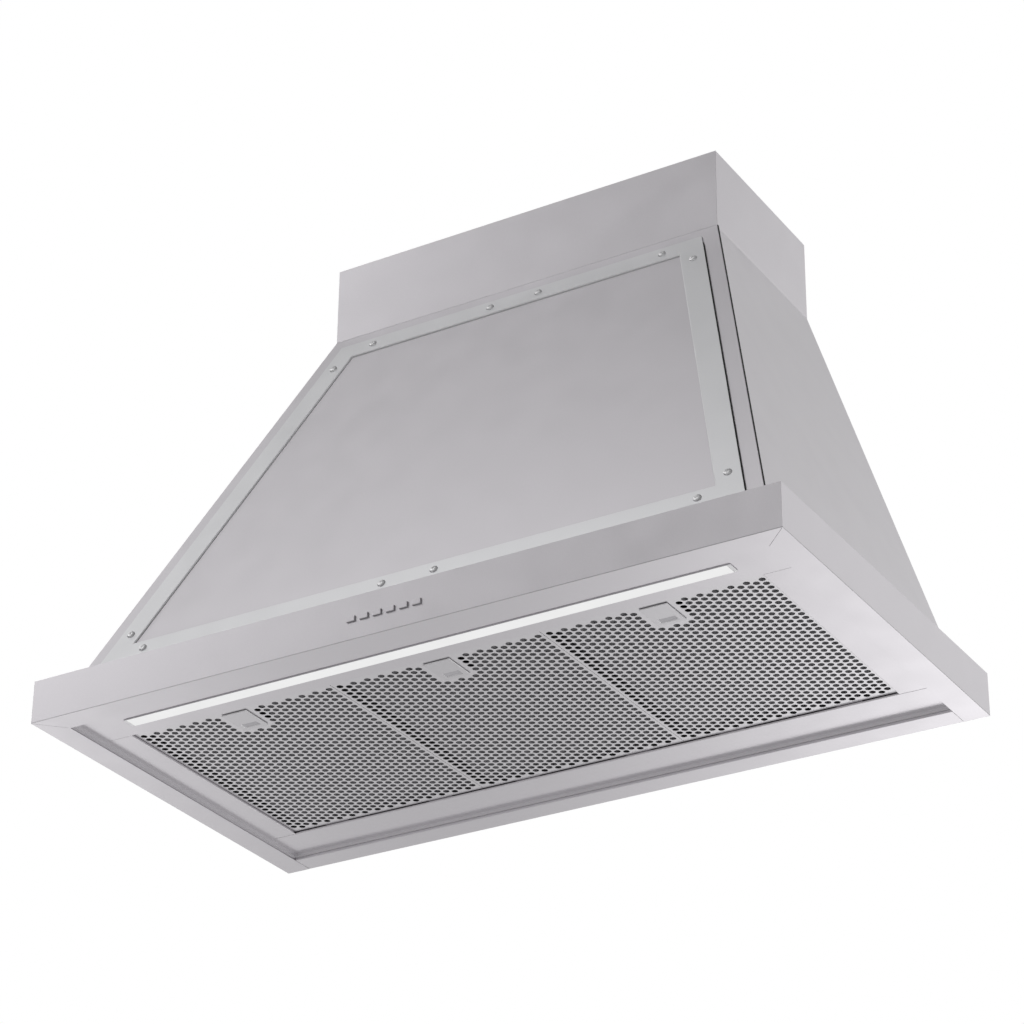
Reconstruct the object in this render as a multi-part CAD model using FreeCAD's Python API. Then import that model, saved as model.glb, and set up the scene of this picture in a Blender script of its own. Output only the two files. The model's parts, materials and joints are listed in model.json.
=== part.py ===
import FreeCAD, Part
import math
import os

from FreeCAD import Placement, Rotation, Vector

# A wall-mounted canopy hood: a 900 mm wide rim with a band of push buttons, a tapered body
# with a framed front panel, and a collar for the duct cover. Three perforated grease filters
# and a light bar close it from below. A centrifugal blower inside feeds a round spigot.
#
# Frame: X to the right seen from the front, Y towards the wall, Z up.
# The origin is the bottom centre of the whole hood. All sizes are in millimetres.

os.makedirs("parts", exist_ok=True)

# Outer form
hood_width = 900.0
hood_depth = 490.0          # from the front of the band to the wall
rim_height = 50.0
body_inset = 30.0           # shelf between the rim's edge and the foot of the body
body_height = 508.0
collar_width = 510.0
collar_depth = 226.0
collar_height = 100.0

# Sheet metal
sheet = 1.2
front_sheet = 1.5
side_step = 1.0             # the side panels lie this far inside the front sheet's edges
joint_gap = 0.1             # between neighbouring sheets that don't touch
fold = 12.0                 # width of an inner fold that carries another sheet

# Rim, seen from below
rim_flange = 30.0
lip_height = 3.0            # upturned inner edge of the rim's flange
mitre_slit = 0.3
ledge_step = 2.2            # how far the inner ledge shows inside the flange
ledge_overlap = 20.0        # how far it reaches over the flange
strip_level = 6.5           # underside of the inner strips above the rim's underside
strip_rest = 8.2            # how far a strip reaches over the ledge

side_strip_width = 34.3     # visible part, from the ledge to the filters
rear_strip_width = 51.6
light_panel_width = 57.4

# Filters
filter_count = 3
filter_gap = 1.0            # between neighbouring filters
filter_side_gap = 0.8       # to the strips beside them
filter_front_gap = 0.8
filter_rear_gap = 1.3
filter_level = 9.0          # underside of the filter face above the rim's underside
filter_sheet = 0.8
filter_wall = 10.8          # height of the filter's folded tray
tab_width = 30.0
tab_length = 8.0
tab_spacing = 140.0
tab_clearance = 0.3
mesh_thickness = 6.0
mesh_clearance = 0.4
retainer_border = 16.0

# Perforation of a filter face: a honeycomb as open as the product's, but with larger holes
hole_columns = 7
hole_rows = 7
hole_radius = 15.0          # to a corner of the hexagon
hole_border = 9.0           # plain sheet between the outer holes and the filter's edge
latch_clearing = 4.0        # plain sheet between the holes and the latch's guide

# Filter latch
latch_width = 32.0
latch_length = 42.6
latch_plate = 1.2
latch_front = 9.5           # from the filter's front edge to the latch plate
latch_lift = 0.3            # clearance between the plate and the filter face
latch_travel = 6.0
pocket_width = 19.5
pocket_length = 8.8
pocket_depth = 0.8
pocket_edge = 5.7           # from the plate's rear edge to the finger pocket
boss_width = 16.0
boss_length = 12.0
boss_start = 14.0           # from the plate's front edge
cap_width = 24.0
cap_thickness = 1.5
tongue_width = 10.0
tongue_clearance = 0.4      # to the lip of the light panel
guide_wall = 2.0
guide_run = 1.0             # clearance round the latch's cap
guide_play = 0.3
spring_leaf = 0.5
spring_width = 20.0
spring_depth = 6.0          # the leaf spring at its pressed depth

# Light bar
light_length = 734.0
light_end = 4.0             # length of each end cap
light_width = 16.5
light_height = 1.2          # how far it stands below the light panel
light_offset = 31.1         # from the rim flange's inner edge to the bar's centre line
light_neck = 9.0
light_slot = 11.0
light_chamfer = 0.6
channel_width = 19.0
channel_height = 12.5
channel_wall = 1.5
board_thickness = 1.5
driver_length = 110.0
driver_width = 15.0
driver_height = 22.0
driver_x = 240.0

# Push buttons in the band
button_count = 6
button_pitch = 15.9
button_width = 10.0
button_height = 6.0
button_proud = 2.0
button_level = 23.6         # height of the button centres
button_clearance = 0.15
button_travel = 1.5
button_chamfer = 0.4
button_flange = 1.5         # thickness of the rim behind the band that keeps the button in
button_flange_width = 1.0
button_flange_gap = 0.3
button_stem = 8.2           # from the band's front face to the end of the stem
carrier_margin = 14.0
carrier_height = 26.0
carrier_thickness = 1.5
carrier_stand = 4.8         # from the band to the carrier plate
carrier_post = 4.5
switch_size = 5.0
switch_height = 2.8
switch_play = 0.3           # between the pressed stem and its switch

# Framed front panel, on the slope
border_side = 20.3          # level width of the body sheet beside the frame
border_top = 19.2
border_bottom = 20.5
frame_side = 29.6           # level width of the frame's side strips
frame_top = 25.5
frame_bottom = 25.6
frame_thickness = 2.4
gasket_thickness = 1.4
gasket_width = 12.0
panel_overlap = 15.0
panel_thickness = 1.2
screw_head_radius = 4.0
screw_head_height = 2.7
screw_sides = 12            # the round head is drawn with this many flats
screw_mid_spacing = 64.0    # between the two middle screws of the top and bottom strips
screw_corner_side = 51.5    # level distance from the frame's corner to a corner screw
screw_corner_run = 43.5     # the same, along the slope

# Blower
spigot_radius = 74.5
spigot_wall = 1.0
spigot_height = 60.0        # from the top plate to the tube's end
flange_border = 15.0        # from the tube to the edge of the square flange
flange_thickness = 1.5
pin_radius = 2.0
pin_height = 18.0           # above the top plate
pin_end_gap = 0.1
flap_thickness = 1.0
flap_clearance = 0.7
lug_wall = 1.2              # round the pin's hole
lug_clearance = 0.05
lug_length = 56.0
flap_hub_gap = 0.4
lug_gap = 1.2               # from the middle of the pin to each lug
flap_stop_width = 12.0
flap_stop_height = 2.0
flap_stop_reach = 4.7
stop_gap = 0.3
scroll_radius = 105.0       # smallest radius of the scroll, at the outlet's tongue
scroll_growth = 14.0        # added each quarter turn
scroll_drop = 238.0         # from the body's top to the fan's axle
scroll_half_width = 60.0
scroll_sheet = 1.5
outlet_width = 130.0
outlet_flange = 12.0
outlet_flange_thickness = 2.0
inlet_radius = 78.0
impeller_radius = 92.0
impeller_rim = 1.0          # plain edge of the wheel's rings outside and inside the blades
impeller_half_width = 48.0
impeller_ring = 2.0
impeller_disc = 3.0
blade_count = 20
blade_depth = 16.0
blade_thickness = 1.4
blade_lean = 11.0           # degrees by which a blade's outer edge leads its inner one
blade_bow = 2.6
hub_radius = 12.0
hub_length = 24.0
shaft_radius = 4.0
shaft_clearance = 0.05
shaft_hole_radius = 8.0
shaft_end_gap = 1.0         # from the shaft's end to the bottom of the motor's bore
motor_radius = 45.0
motor_length = 68.0
motor_bore_depth = 58.0
motor_plate_width = 120.0
motor_plate_thickness = 2.5
strap_width = 60.0
strap_height = 20.0
strap_thickness = 2.0
strap_drop = 40.0           # below the fan's axle

# Electrics and fasteners
box_width = 160.0
box_depth = 40.0
box_height = 90.0
box_chamfer = 3.0
box_inset = 180.0           # from the body's foot to the box's middle
box_z = 90.0
gland_radius = 13.0         # to a corner of its hexagon
gland_bore = 4.5
gland_height = 16.0
gland_hole_clearance = 1.0  # the plate's hole round the gland's bore
gland_x = 180.0
gland_inset = 75.0          # from the wall to the gland
blower_screw_radius = 5.0   # to a corner of its hexagon head
blower_screw_height = 4.0
wall_hole_radius = 4.0
wall_hole_spacing_x = 500.0
wall_hole_spacing_z = 300.0
wall_hole_low = 120.0

# Planes that several pieces share
y_wall = (hood_depth + button_proud) / 2.0
y_band = y_wall - hood_depth
x_rim = hood_width / 2.0
x_flange = x_rim - rim_flange
y_flange = y_band + rim_flange
y_rear_flange = y_wall - rim_flange
z_body = rim_height
z_top = rim_height + body_height
z_collar = z_top + collar_height
x_foot = x_rim - body_inset
y_foot = y_band + body_inset
x_collar = collar_width / 2.0
y_collar = y_wall - collar_depth
x_opening = x_flange - ledge_step - side_strip_width
y_opening = y_flange + ledge_step + light_panel_width
y_opening_rear = y_rear_flange - ledge_step - rear_strip_width
y_filter = y_opening + filter_front_gap
y_filter_rear = y_opening_rear - filter_rear_gap
filter_depth = y_filter_rear - y_filter
filters_width = 2.0 * (x_opening - filter_side_gap)
filter_width = (filters_width - (filter_count - 1) * filter_gap) / filter_count
front_angle = math.atan2(y_collar - y_foot, body_height)
side_angle = math.atan2(x_foot - x_collar, body_height)
slope_length = math.hypot(y_collar - y_foot, body_height)
y_spigot = y_wall - collar_depth / 2.0
z_fan = z_top - scroll_drop

X = Vector(1, 0, 0)
Y = Vector(0, 1, 0)
Z = Vector(0, 0, 1)


def box(x0, x1, y0, y1, z0, z1):
    return Part.makeBox(x1 - x0, y1 - y0, z1 - z0, Vector(x0, y0, z0))


def mirrored_box(x, y0, y1, z0, z1):
    return box(-x, x, y0, y1, z0, z1)


def prism(points, reach):
    outline = Part.makePolygon(points + [points[0]])
    return Part.Face(outline).extrude(reach)


def polygon_prism(centre, radius, sides, reach):
    """An upright prism with a regular outline; radius goes to its corners."""
    corners = []
    for i in range(sides):
        a = 2 * math.pi * i / sides
        corners.append(centre + Vector(radius * math.cos(a), radius * math.sin(a), 0))
    return prism(corners, reach)


def fuse(shapes):
    return shapes[0].multiFuse(shapes[1:]).removeSplitter()


def body_block(side_in, front_in, back_in, z_low=z_body, z_high=z_top):
    """The tapered body with its sides, front and back moved in by these distances."""
    side_shift = side_in / math.cos(side_angle)
    front_shift = front_in / math.cos(front_angle)

    def ring(z):
        rise = (z - z_body) / body_height
        x = x_foot + (x_collar - x_foot) * rise - side_shift
        y = y_foot + (y_collar - y_foot) * rise + front_shift
        back = y_wall - back_in
        return [Vector(-x, y, z), Vector(x, y, z), Vector(x, back, z), Vector(-x, back, z)]

    low, high = ring(z_low), ring(z_high)
    faces = [low[::-1], high]
    for i in range(4):
        j = (i + 1) % 4
        faces.append([low[i], low[j], high[j], high[i]])
    shell = Part.Shell([Part.Face(Part.makePolygon(f + [f[0]])) for f in faces])
    return Part.makeSolid(shell)


def on_slope(shape):
    """Moves a shape from the slope's own frame (x level, y up the slope, z outward) to its place."""
    turned = shape.copy()
    turned.rotate(Vector(0, 0, 0), X, 90 - math.degrees(front_angle))
    turned.translate(Vector(0, y_foot, z_body))
    return turned


def slope_half(v):
    return x_foot + (x_collar - x_foot) * v / slope_length


def slope_plate(v_low, v_high, inset, w_low, w_high):
    """A trapezoid that follows the body's slanted sides, from w_low to w_high above the sheet."""
    low, high = slope_half(v_low) - inset, slope_half(v_high) - inset
    points = [
        Vector(-low, v_low, w_low),
        Vector(low, v_low, w_low),
        Vector(high, v_high, w_low),
        Vector(-high, v_high, w_low),
    ]
    return prism(points, Vector(0, 0, w_high - w_low))


def window_plate(margin, w_low, w_high):
    """The front sheet's window, made larger all round by margin."""
    v_low = border_bottom + frame_bottom - margin
    v_high = slope_length - border_top - frame_top + margin
    return slope_plate(v_low, v_high, border_side + frame_side - margin, w_low, w_high)


# ---- rim ----


def button_places():
    first = -(button_count - 1) / 2.0
    return [(first + i) * button_pitch for i in range(button_count)]


def button_block(x, grown, y0, y1):
    """A bar of a button's section, grown by a clearance or a rim, from y0 to y1."""
    half_x, half_z = button_width / 2 + grown, button_height / 2 + grown
    return box(x - half_x, x + half_x, y0, y1, button_level - half_z, button_level + half_z)


def rim_band():
    outer = mirrored_box(x_rim, y_band, y_wall, 0, rim_height)
    inner = mirrored_box(x_rim - sheet, y_band + sheet, y_wall + sheet, sheet, rim_height - sheet)
    below = mirrored_box(x_flange, y_flange, y_wall + sheet, -sheet, 2 * sheet)
    shelf_z0, shelf_z1 = rim_height - 2 * sheet, rim_height + sheet
    above = mirrored_box(x_foot - fold, y_foot + fold, y_wall + sheet, shelf_z0, shelf_z1)
    band = outer.cut(inner).cut(below).cut(above)
    lip = mirrored_box(x_flange + sheet, y_flange - sheet, y_wall, sheet, lip_height)
    lip = lip.cut(mirrored_box(x_flange, y_flange, y_wall + sheet, 0, rim_height))
    band = fuse([band, lip])
    reach = rim_flange * math.sqrt(2)
    for side in (-1, 1):
        slit = box(-mitre_slit / 2, mitre_slit / 2, sheet, reach - 2 * sheet, -sheet, lip_height + sheet)
        slit.Placement = Placement(Vector(side * x_rim, y_band, 0), Rotation(Z, side * 45))
        band = band.cut(slit)
    for x in button_places():
        band = band.cut(button_block(x, button_clearance, y_band - sheet, y_band + 2 * sheet))
    return band


def rear_flange():
    x = x_flange - joint_gap
    flat = mirrored_box(x, y_rear_flange, y_wall, 0, sheet)
    lip = mirrored_box(x, y_rear_flange, y_rear_flange + sheet, 0, lip_height)
    upright = mirrored_box(x_rim - sheet - joint_gap, y_wall - sheet, y_wall, sheet, rim_height - sheet)
    x_upper = x_foot - fold - joint_gap
    upper = mirrored_box(x_upper, y_wall - sheet, y_wall, rim_height - 2 * sheet, rim_height)
    for side in (-1, 1):
        x0, x1 = side * x_flange - fold / 2, side * x_flange + fold / 2
        upright = upright.cut(box(x0, x1, y_wall - 2 * sheet, y_wall + sheet, sheet, lip_height))
    return fuse([flat, lip, upright, upper])


def support_ledge():
    x_in, y_in, y_back = x_flange - ledge_step, y_flange + ledge_step, y_rear_flange - ledge_step
    y_front = y_flange - ledge_overlap
    x_out = x_flange + ledge_overlap
    y_out = y_wall - sheet - joint_gap
    opening = mirrored_box(x_in, y_in, y_back, 0, rim_height)
    flat = mirrored_box(x_out, y_front, y_out, lip_height, lip_height + sheet).cut(opening)
    rise = mirrored_box(x_in + sheet, y_in - sheet, y_back + sheet, lip_height, strip_level).cut(opening)
    return fuse([flat, rise])


# ---- underside strips ----


def strip_box(x0, x1, y0, y1):
    return box(x0, x1, y0, y1, strip_level, strip_level + sheet)


def strip_reach():
    """How far the strips reach outward, so that they lie on the ledge's raised edge."""
    return x_flange - ledge_step + strip_rest


def filter_centres():
    first = -(filter_count - 1) / 2.0
    return [(first + i) * (filter_width + filter_gap) for i in range(filter_count)]


def light_centre_y():
    return y_flange + light_offset


def tongue_band():
    """The heights between which a latch's tongue passes through the sheets in front of it."""
    low = filter_level + filter_sheet
    return low, low + latch_lift + cap_thickness + latch_lift


def light_panel():
    x = strip_reach()
    y_front = y_flange + ledge_step - strip_rest
    flat = strip_box(-x, x, y_front, y_opening)
    x_lip = x_opening - 2 * joint_gap
    catch_low, catch_high = tongue_band()
    lip_top = catch_high + 2 * sheet
    lip = mirrored_box(x_lip, y_opening - sheet, y_opening, strip_level + sheet, lip_top)
    slot = mirrored_box(
        light_length / 2 - light_end,
        light_centre_y() - light_slot / 2,
        light_centre_y() + light_slot / 2,
        0,
        rim_height,
    )
    panel = fuse([flat, lip]).cut(slot)
    half = tongue_width / 2 + sheet
    for x_latch in filter_centres():
        y0, y1 = y_opening - 2 * sheet, y_opening + sheet
        panel = panel.cut(box(x_latch - half, x_latch + half, y0, y1, catch_low, catch_high))
    return panel


def rear_strip():
    x = strip_reach()
    y_back = y_rear_flange - ledge_step + strip_rest
    flat = strip_box(-x, x, y_opening_rear, y_back)
    x_lip = x_opening - 2 * joint_gap
    lip_top = filter_level - tab_clearance
    lip = mirrored_box(x_lip, y_opening_rear, y_opening_rear + sheet, strip_level, lip_top)
    return fuse([flat, lip])


def side_strip(side):
    flat = strip_box(x_opening, strip_reach(), y_opening + joint_gap, y_opening_rear - joint_gap)
    wall_top = filter_level + filter_wall
    wall = box(
        x_opening, x_opening + sheet, y_opening + joint_gap, y_opening_rear - joint_gap, strip_level, wall_top
    )
    strip = fuse([flat, wall])
    return strip if side > 0 else strip.mirror(Vector(0, 0, 0), X)


# ---- light bar ----


def light_section(x0, x1):
    half = light_width / 2
    low = strip_level - light_height
    return box(x0, x1, light_centre_y() - half, light_centre_y() + half, low, strip_level)


def led_diffuser():
    x = light_length / 2 - light_end
    y, half = light_centre_y(), light_neck / 2
    neck = mirrored_box(x - sheet, y - half, y + half, strip_level, strip_level + 3 * sheet)
    return fuse([light_section(-x, x), neck])


def led_end_cap():
    x0, x1 = light_length / 2 - light_end, light_length / 2
    half = light_width / 2
    y = light_centre_y()
    low = strip_level - light_height
    points = [
        Vector(x0, y - half, low),
        Vector(x1 - light_chamfer, y - half, low),
        Vector(x1, y - half + light_chamfer, low),
        Vector(x1, y + half - light_chamfer, low),
        Vector(x1 - light_chamfer, y + half, low),
        Vector(x0, y + half, low),
    ]
    return prism(points, Vector(0, 0, light_height))


def led_end_caps():
    cap = led_end_cap()
    return Part.makeCompound([cap, cap.mirror(Vector(0, 0, 0), X)])


def led_channel():
    half = channel_width / 2
    y = light_centre_y()
    low = strip_level + sheet
    outer = mirrored_box(light_length / 2, y - half, y + half, low, low + channel_height)
    free = half - channel_wall
    inner = mirrored_box(light_length, y - free, y + free, low - sheet, low + channel_height - channel_wall)
    return outer.cut(inner)


def led_board():
    half = channel_width / 2 - channel_wall - joint_gap
    high = strip_level + sheet + channel_height - channel_wall
    y = light_centre_y()
    return mirrored_box(light_length / 2 - light_end, y - half, y + half, high - board_thickness, high)


def led_driver():
    y = light_centre_y() + channel_width / 2 + 1.0
    low = strip_level + sheet
    return box(driver_x, driver_x + driver_length, y, y + driver_width, low, low + driver_height)


# ---- push buttons ----


def edges_at_y(solid, y):
    return [e for e in solid.Edges if all(abs(v.Y - y) < 1e-6 for v in e.Vertexes)]


def button(x):
    y_face = y_band - button_proud
    cap = button_block(x, 0, y_face, y_band + button_stem)
    rim_front = y_band + sheet + button_flange_gap
    rim = button_block(x, button_flange_width, rim_front, rim_front + button_flange)
    solid = fuse([cap, rim])
    return solid.makeChamfer(button_chamfer, edges_at_y(solid, y_face))


def carrier_half():
    return (button_count - 1) * button_pitch / 2 + carrier_margin


def button_carrier():
    x = carrier_half()
    z0, z1 = button_level - carrier_height / 2, button_level + carrier_height / 2
    y0 = y_band + sheet + carrier_stand
    plate = mirrored_box(x, y0, y0 + carrier_thickness, z0, z1)
    for place in button_places():
        plate = plate.cut(button_block(place, button_clearance, y0 - sheet, y0 + 2 * carrier_thickness))
    posts = []
    for side in (-1, 1):
        x0, x1 = sorted((side * x, side * (x - carrier_post)))
        posts.append(box(x0, x1, y_band + sheet, board_front_y(), z0, z1))
    return fuse([plate] + posts)


def board_front_y():
    pressed_end = y_band + button_stem + button_travel
    return pressed_end + switch_play + switch_height


def button_switches():
    y0, y1 = board_front_y() - switch_height, board_front_y()
    half = switch_size / 2
    z0, z1 = button_level - half, button_level + half
    return Part.makeCompound([box(x - half, x + half, y0, y1, z0, z1) for x in button_places()])


def control_board():
    x = carrier_half()
    z0, z1 = button_level - carrier_height / 2, button_level + carrier_height / 2
    return mirrored_box(x, board_front_y(), board_front_y() + board_thickness, z0, z1)


# ---- body ----


def front_panel():
    slab = body_block(0, 0, 0).cut(body_block(-fold, front_sheet, -fold, z_body - fold, z_top + fold))
    return slab.cut(on_slope(window_plate(0, -fold, fold)))


def side_panel(side):
    outer = body_block(side_step, front_sheet, 0)
    inner = body_block(side_step + sheet, -fold, -fold, z_body - fold, z_top + fold)
    walls = outer.cut(inner)
    x0, x1 = sorted((0, side * x_rim))
    return walls.common(box(x0, x1, y_band, y_wall, 0, z_top))


def body_cavity():
    return body_block(side_step + sheet, front_sheet, 0)


def wall_hole_places():
    half = wall_hole_spacing_x / 2
    return [(x, z) for x in (-half, half) for z in (wall_hole_low, wall_hole_low + wall_hole_spacing_z)]


def back_plate():
    plate = body_cavity().common(mirrored_box(x_rim, y_wall - sheet, y_wall, z_body, z_top))
    for x, z in wall_hole_places():
        plate = plate.cut(Part.makeCylinder(wall_hole_radius, 4 * sheet, Vector(x, y_wall - 3 * sheet, z), Y))
    return plate


def top_plate():
    plate = body_cavity().common(mirrored_box(x_rim, y_band, y_wall - sheet, z_top - sheet, z_top))
    z0 = z_top - 2 * sheet
    half_outlet = outlet_width / 2
    hole = mirrored_box(scroll_half_width, y_spigot - half_outlet, y_spigot + half_outlet, z0, z_top + sheet)
    plate = plate.cut(hole)
    gland = Vector(gland_x, y_wall - gland_inset, z0)
    return plate.cut(Part.makeCylinder(gland_bore + gland_hole_clearance, 4 * sheet, gland, Z))


def collar():
    outer = mirrored_box(x_collar, y_collar, y_wall, z_top, z_collar)
    inner = mirrored_box(x_collar - sheet, y_collar + sheet, y_wall - sheet, z_top + sheet, z_collar - sheet)
    shaft = mirrored_box(x_collar - fold, y_collar + fold, y_wall + fold, z_top - fold, z_collar + fold)
    return outer.cut(inner).cut(shaft)


def trim_frame():
    outer = slope_plate(border_bottom, slope_length - border_top, border_side, 0, frame_thickness)
    return on_slope(outer.cut(window_plate(0, -fold, fold)))


def panel_gasket():
    low = -front_sheet - gasket_thickness
    ring = window_plate(gasket_width, low, -front_sheet).cut(window_plate(0, -fold, fold))
    return on_slope(ring)


def centre_panel():
    high = -front_sheet - gasket_thickness
    return on_slope(window_plate(panel_overlap, high - panel_thickness, high))


def screw_places():
    """Frame screws in the slope's frame: rows on the top and bottom strips, pairs on the sides."""
    places = []
    v_bottom, v_top = border_bottom + frame_bottom / 2, slope_length - border_top - frame_top / 2
    for v in (v_bottom, v_top):
        corner = slope_half(v) - border_side - screw_corner_side
        for u in (screw_mid_spacing / 2, corner):
            places += [(-u, v), (u, v)]
    for v in (border_bottom + screw_corner_run, slope_length - border_top - screw_corner_run):
        u = slope_half(v) - border_side - frame_side / 2
        places += [(-u, v), (u, v)]
    return places


def frame_screw(u, v):
    """A pan head, seated on the frame."""
    return polygon_prism(Vector(u, v, frame_thickness), screw_head_radius, screw_sides, Z * screw_head_height)


def frame_screws():
    return Part.makeCompound([on_slope(frame_screw(u, v)) for u, v in screw_places()])


# ---- outlet ----


def spigot_flange():
    half = spigot_radius + flange_border
    plate = mirrored_box(half, y_spigot - half, y_spigot + half, z_top, z_top + flange_thickness)
    base = Vector(0, y_spigot, z_top - sheet)
    return plate.cut(Part.makeCylinder(spigot_radius - spigot_wall, 3 * flange_thickness, base, Z))


def outlet_spigot():
    """The tube that stands on the flange, with two small stops on which the damper's flaps rest."""
    inner = spigot_radius - spigot_wall
    base = Vector(0, y_spigot, z_top + flange_thickness)
    reach = spigot_height - flange_thickness
    spigot = Part.makeCylinder(spigot_radius, reach, base, Z)
    spigot = spigot.cut(Part.makeCylinder(inner, reach, base, Z))
    z_stop = z_top + pin_height - flap_thickness / 2 - stop_gap
    for side in (-1, 1):
        near, far = y_spigot + side * (inner - flap_stop_reach), y_spigot + side * (inner + spigot_wall / 2)
        y0, y1 = sorted((near, far))
        spigot = spigot.fuse(mirrored_box(flap_stop_width / 2, y0, y1, z_stop - flap_stop_height, z_stop))
    return spigot.removeSplitter()


def damper_pin():
    half = spigot_radius - spigot_wall - pin_end_gap
    return Part.makeCylinder(pin_radius, 2 * half, Vector(-half, y_spigot, z_top + pin_height), X)


def damper_flap(side):
    """A half disc with a lug on the pin: at the left on the front flap (-1), at the right on the rear one."""
    radius = spigot_radius - spigot_wall - flap_clearance
    lug_half = pin_radius + lug_clearance + lug_wall
    z = z_top + pin_height
    disc = Part.makeCylinder(radius, flap_thickness, Vector(0, y_spigot, z - flap_thickness / 2), Z)
    clear = lug_half * math.sqrt(2) + flap_hub_gap
    y0, y1 = sorted((y_spigot + side * clear, y_spigot + side * 2 * radius))
    half_disc = disc.common(mirrored_box(2 * radius, y0, y1, z - radius, z + radius))
    x0, x1 = sorted((side * lug_gap, side * (lug_gap + lug_length)))
    lug = box(x0, x1, y_spigot - lug_half, y_spigot + lug_half, z - lug_half, z + lug_half)
    w0, w1 = sorted((y_spigot, y_spigot + side * (clear + flap_thickness)))
    web = box(x0, x1, w0, w1, z - flap_thickness / 2, z + flap_thickness / 2)
    bore = Part.makeCylinder(pin_radius + lug_clearance, 2 * radius, Vector(-radius, y_spigot, z), X)
    return fuse([half_disc, lug, web]).cut(bore)


# ---- blower ----


def fan_y():
    """The fan's axle, placed so that the outlet's duct is centred under the spigot."""
    reach = scroll_growth / 2 + scroll_radius + 2 * scroll_growth
    return y_spigot + outlet_width / 2 - reach


def scroll_outline(extra, x, z_high):
    """The scroll's side view, grown outward by extra: three quarter arcs and a straight outlet."""
    half = scroll_growth / 2
    y, z = fan_y(), z_fan
    r1, r2, r3 = (scroll_radius + i * scroll_growth + extra for i in range(3))
    c1, c2, c3 = Vector(x, y - half, z - half), Vector(x, y + half, z - half), Vector(x, y + half, z + half)
    root = math.sqrt(0.5)
    top = c1 + Z * r1
    front = c1 - Y * r1
    bottom = c2 - Z * r2
    rear = c3 + Y * r3
    tongue_y = y_spigot - outlet_width / 2 - extra
    tongue = Vector(x, tongue_y, top.z)
    tongue_top = Vector(x, tongue_y, z_high)
    rear_top = Vector(x, rear.y, z_high)
    edges = [
        Part.Arc(top, c1 + (Z - Y) * root * r1, front).toShape(),
        Part.Arc(front, c2 - (Z + Y) * root * r2, bottom).toShape(),
        Part.Arc(bottom, c3 + (Y - Z) * root * r3, rear).toShape(),
        Part.makeLine(rear, rear_top),
        Part.makeLine(rear_top, tongue_top),
        Part.makeLine(tongue_top, tongue),
        Part.makeLine(tongue, top),
    ]
    return Part.Face(Part.Wire(edges))


def blower_housing():
    """The scroll, open at the inlet on its left side, with a small hole for the shaft on the right."""
    z_high = z_top - sheet
    half = scroll_half_width + scroll_sheet
    outer = scroll_outline(scroll_sheet, -half, z_high).extrude(X * 2 * half)
    inner = scroll_outline(0, -scroll_half_width, z_high + fold).extrude(X * 2 * scroll_half_width)
    inlet = Part.makeCylinder(inlet_radius, half, Vector(-1.5 * half, fan_y(), z_fan), X)
    shaft_hole = Part.makeCylinder(shaft_hole_radius, 2 * half, Vector(0, fan_y(), z_fan), X)
    y0 = y_spigot - outlet_width / 2 - scroll_sheet - outlet_flange
    y1 = y_spigot + outlet_width / 2 + scroll_sheet + outlet_flange
    flange = mirrored_box(half + outlet_flange, y0, y1, z_high - outlet_flange_thickness, z_high)
    return outer.fuse(flange).cut(inner).cut(inlet).cut(shaft_hole).removeSplitter()


def blade(index):
    """One forward-leaning blade, pressed from a strip with a fold along its middle."""
    outer = impeller_radius - impeller_rim
    half = blade_thickness / 2
    middle_radius = outer - blade_depth / 2
    stations = [
        (outer - blade_depth, 0, 0),
        (middle_radius, blade_lean / 2, -blade_bow),
        (outer, blade_lean, 0),
    ]
    near, far = [], []
    for radius, lean, bow in stations:
        a = math.radians(360.0 * index / blade_count + lean)
        radial = Vector(0, math.cos(a), math.sin(a))
        tangent = Vector(0, -math.sin(a), math.cos(a))
        near.append(radial * radius + tangent * (bow - half))
        far.append(radial * radius + tangent * (bow + half))
    reach = impeller_half_width - impeller_ring / 2
    strip = prism(near + far[::-1], X * 2 * reach)
    strip.translate(Vector(-reach, fan_y(), z_fan))
    return strip


def ring_x(outer, inner, x0, x1):
    base = Vector(x0, fan_y(), z_fan)
    return Part.makeCylinder(outer, x1 - x0, base, X).cut(Part.makeCylinder(inner, x1 - x0, base, X))


def impeller():
    """A squirrel-cage wheel: a ring at the inlet, blades, and a disc with its hub on the motor's side."""
    w = impeller_half_width
    ring_in = impeller_radius - 2 * impeller_rim - blade_depth
    ring = ring_x(impeller_radius, ring_in, -w, -w + impeller_ring)
    disc = ring_x(impeller_radius, shaft_radius, w - impeller_disc, w)
    hub = ring_x(hub_radius, shaft_radius, w - hub_length, w)
    wheel = ring.multiFuse([disc, hub] + [blade(i) for i in range(blade_count)])
    return wheel.removeSplitter()


def motor_start_x():
    return scroll_half_width + scroll_sheet + motor_plate_thickness


def motor_shaft():
    x0 = impeller_half_width - hub_length
    reach = motor_start_x() + motor_bore_depth - shaft_end_gap - x0
    return Part.makeCylinder(shaft_radius, reach, Vector(x0, fan_y(), z_fan), X)


def motor():
    base = Vector(motor_start_x(), fan_y(), z_fan)
    body = Part.makeCylinder(motor_radius, motor_length, base, X)
    return body.cut(Part.makeCylinder(shaft_radius + shaft_clearance, motor_bore_depth, base, X))


def motor_plate():
    """The plate between the scroll's right wall and the motor."""
    x0, x1 = scroll_half_width + scroll_sheet, motor_start_x()
    half = motor_plate_width / 2
    plate = box(x0, x1, fan_y() - half, fan_y() + half, z_fan - half, z_fan + half)
    return plate.cut(Part.makeCylinder(shaft_hole_radius, 2 * x1, Vector(0, fan_y(), z_fan), X))


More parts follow.
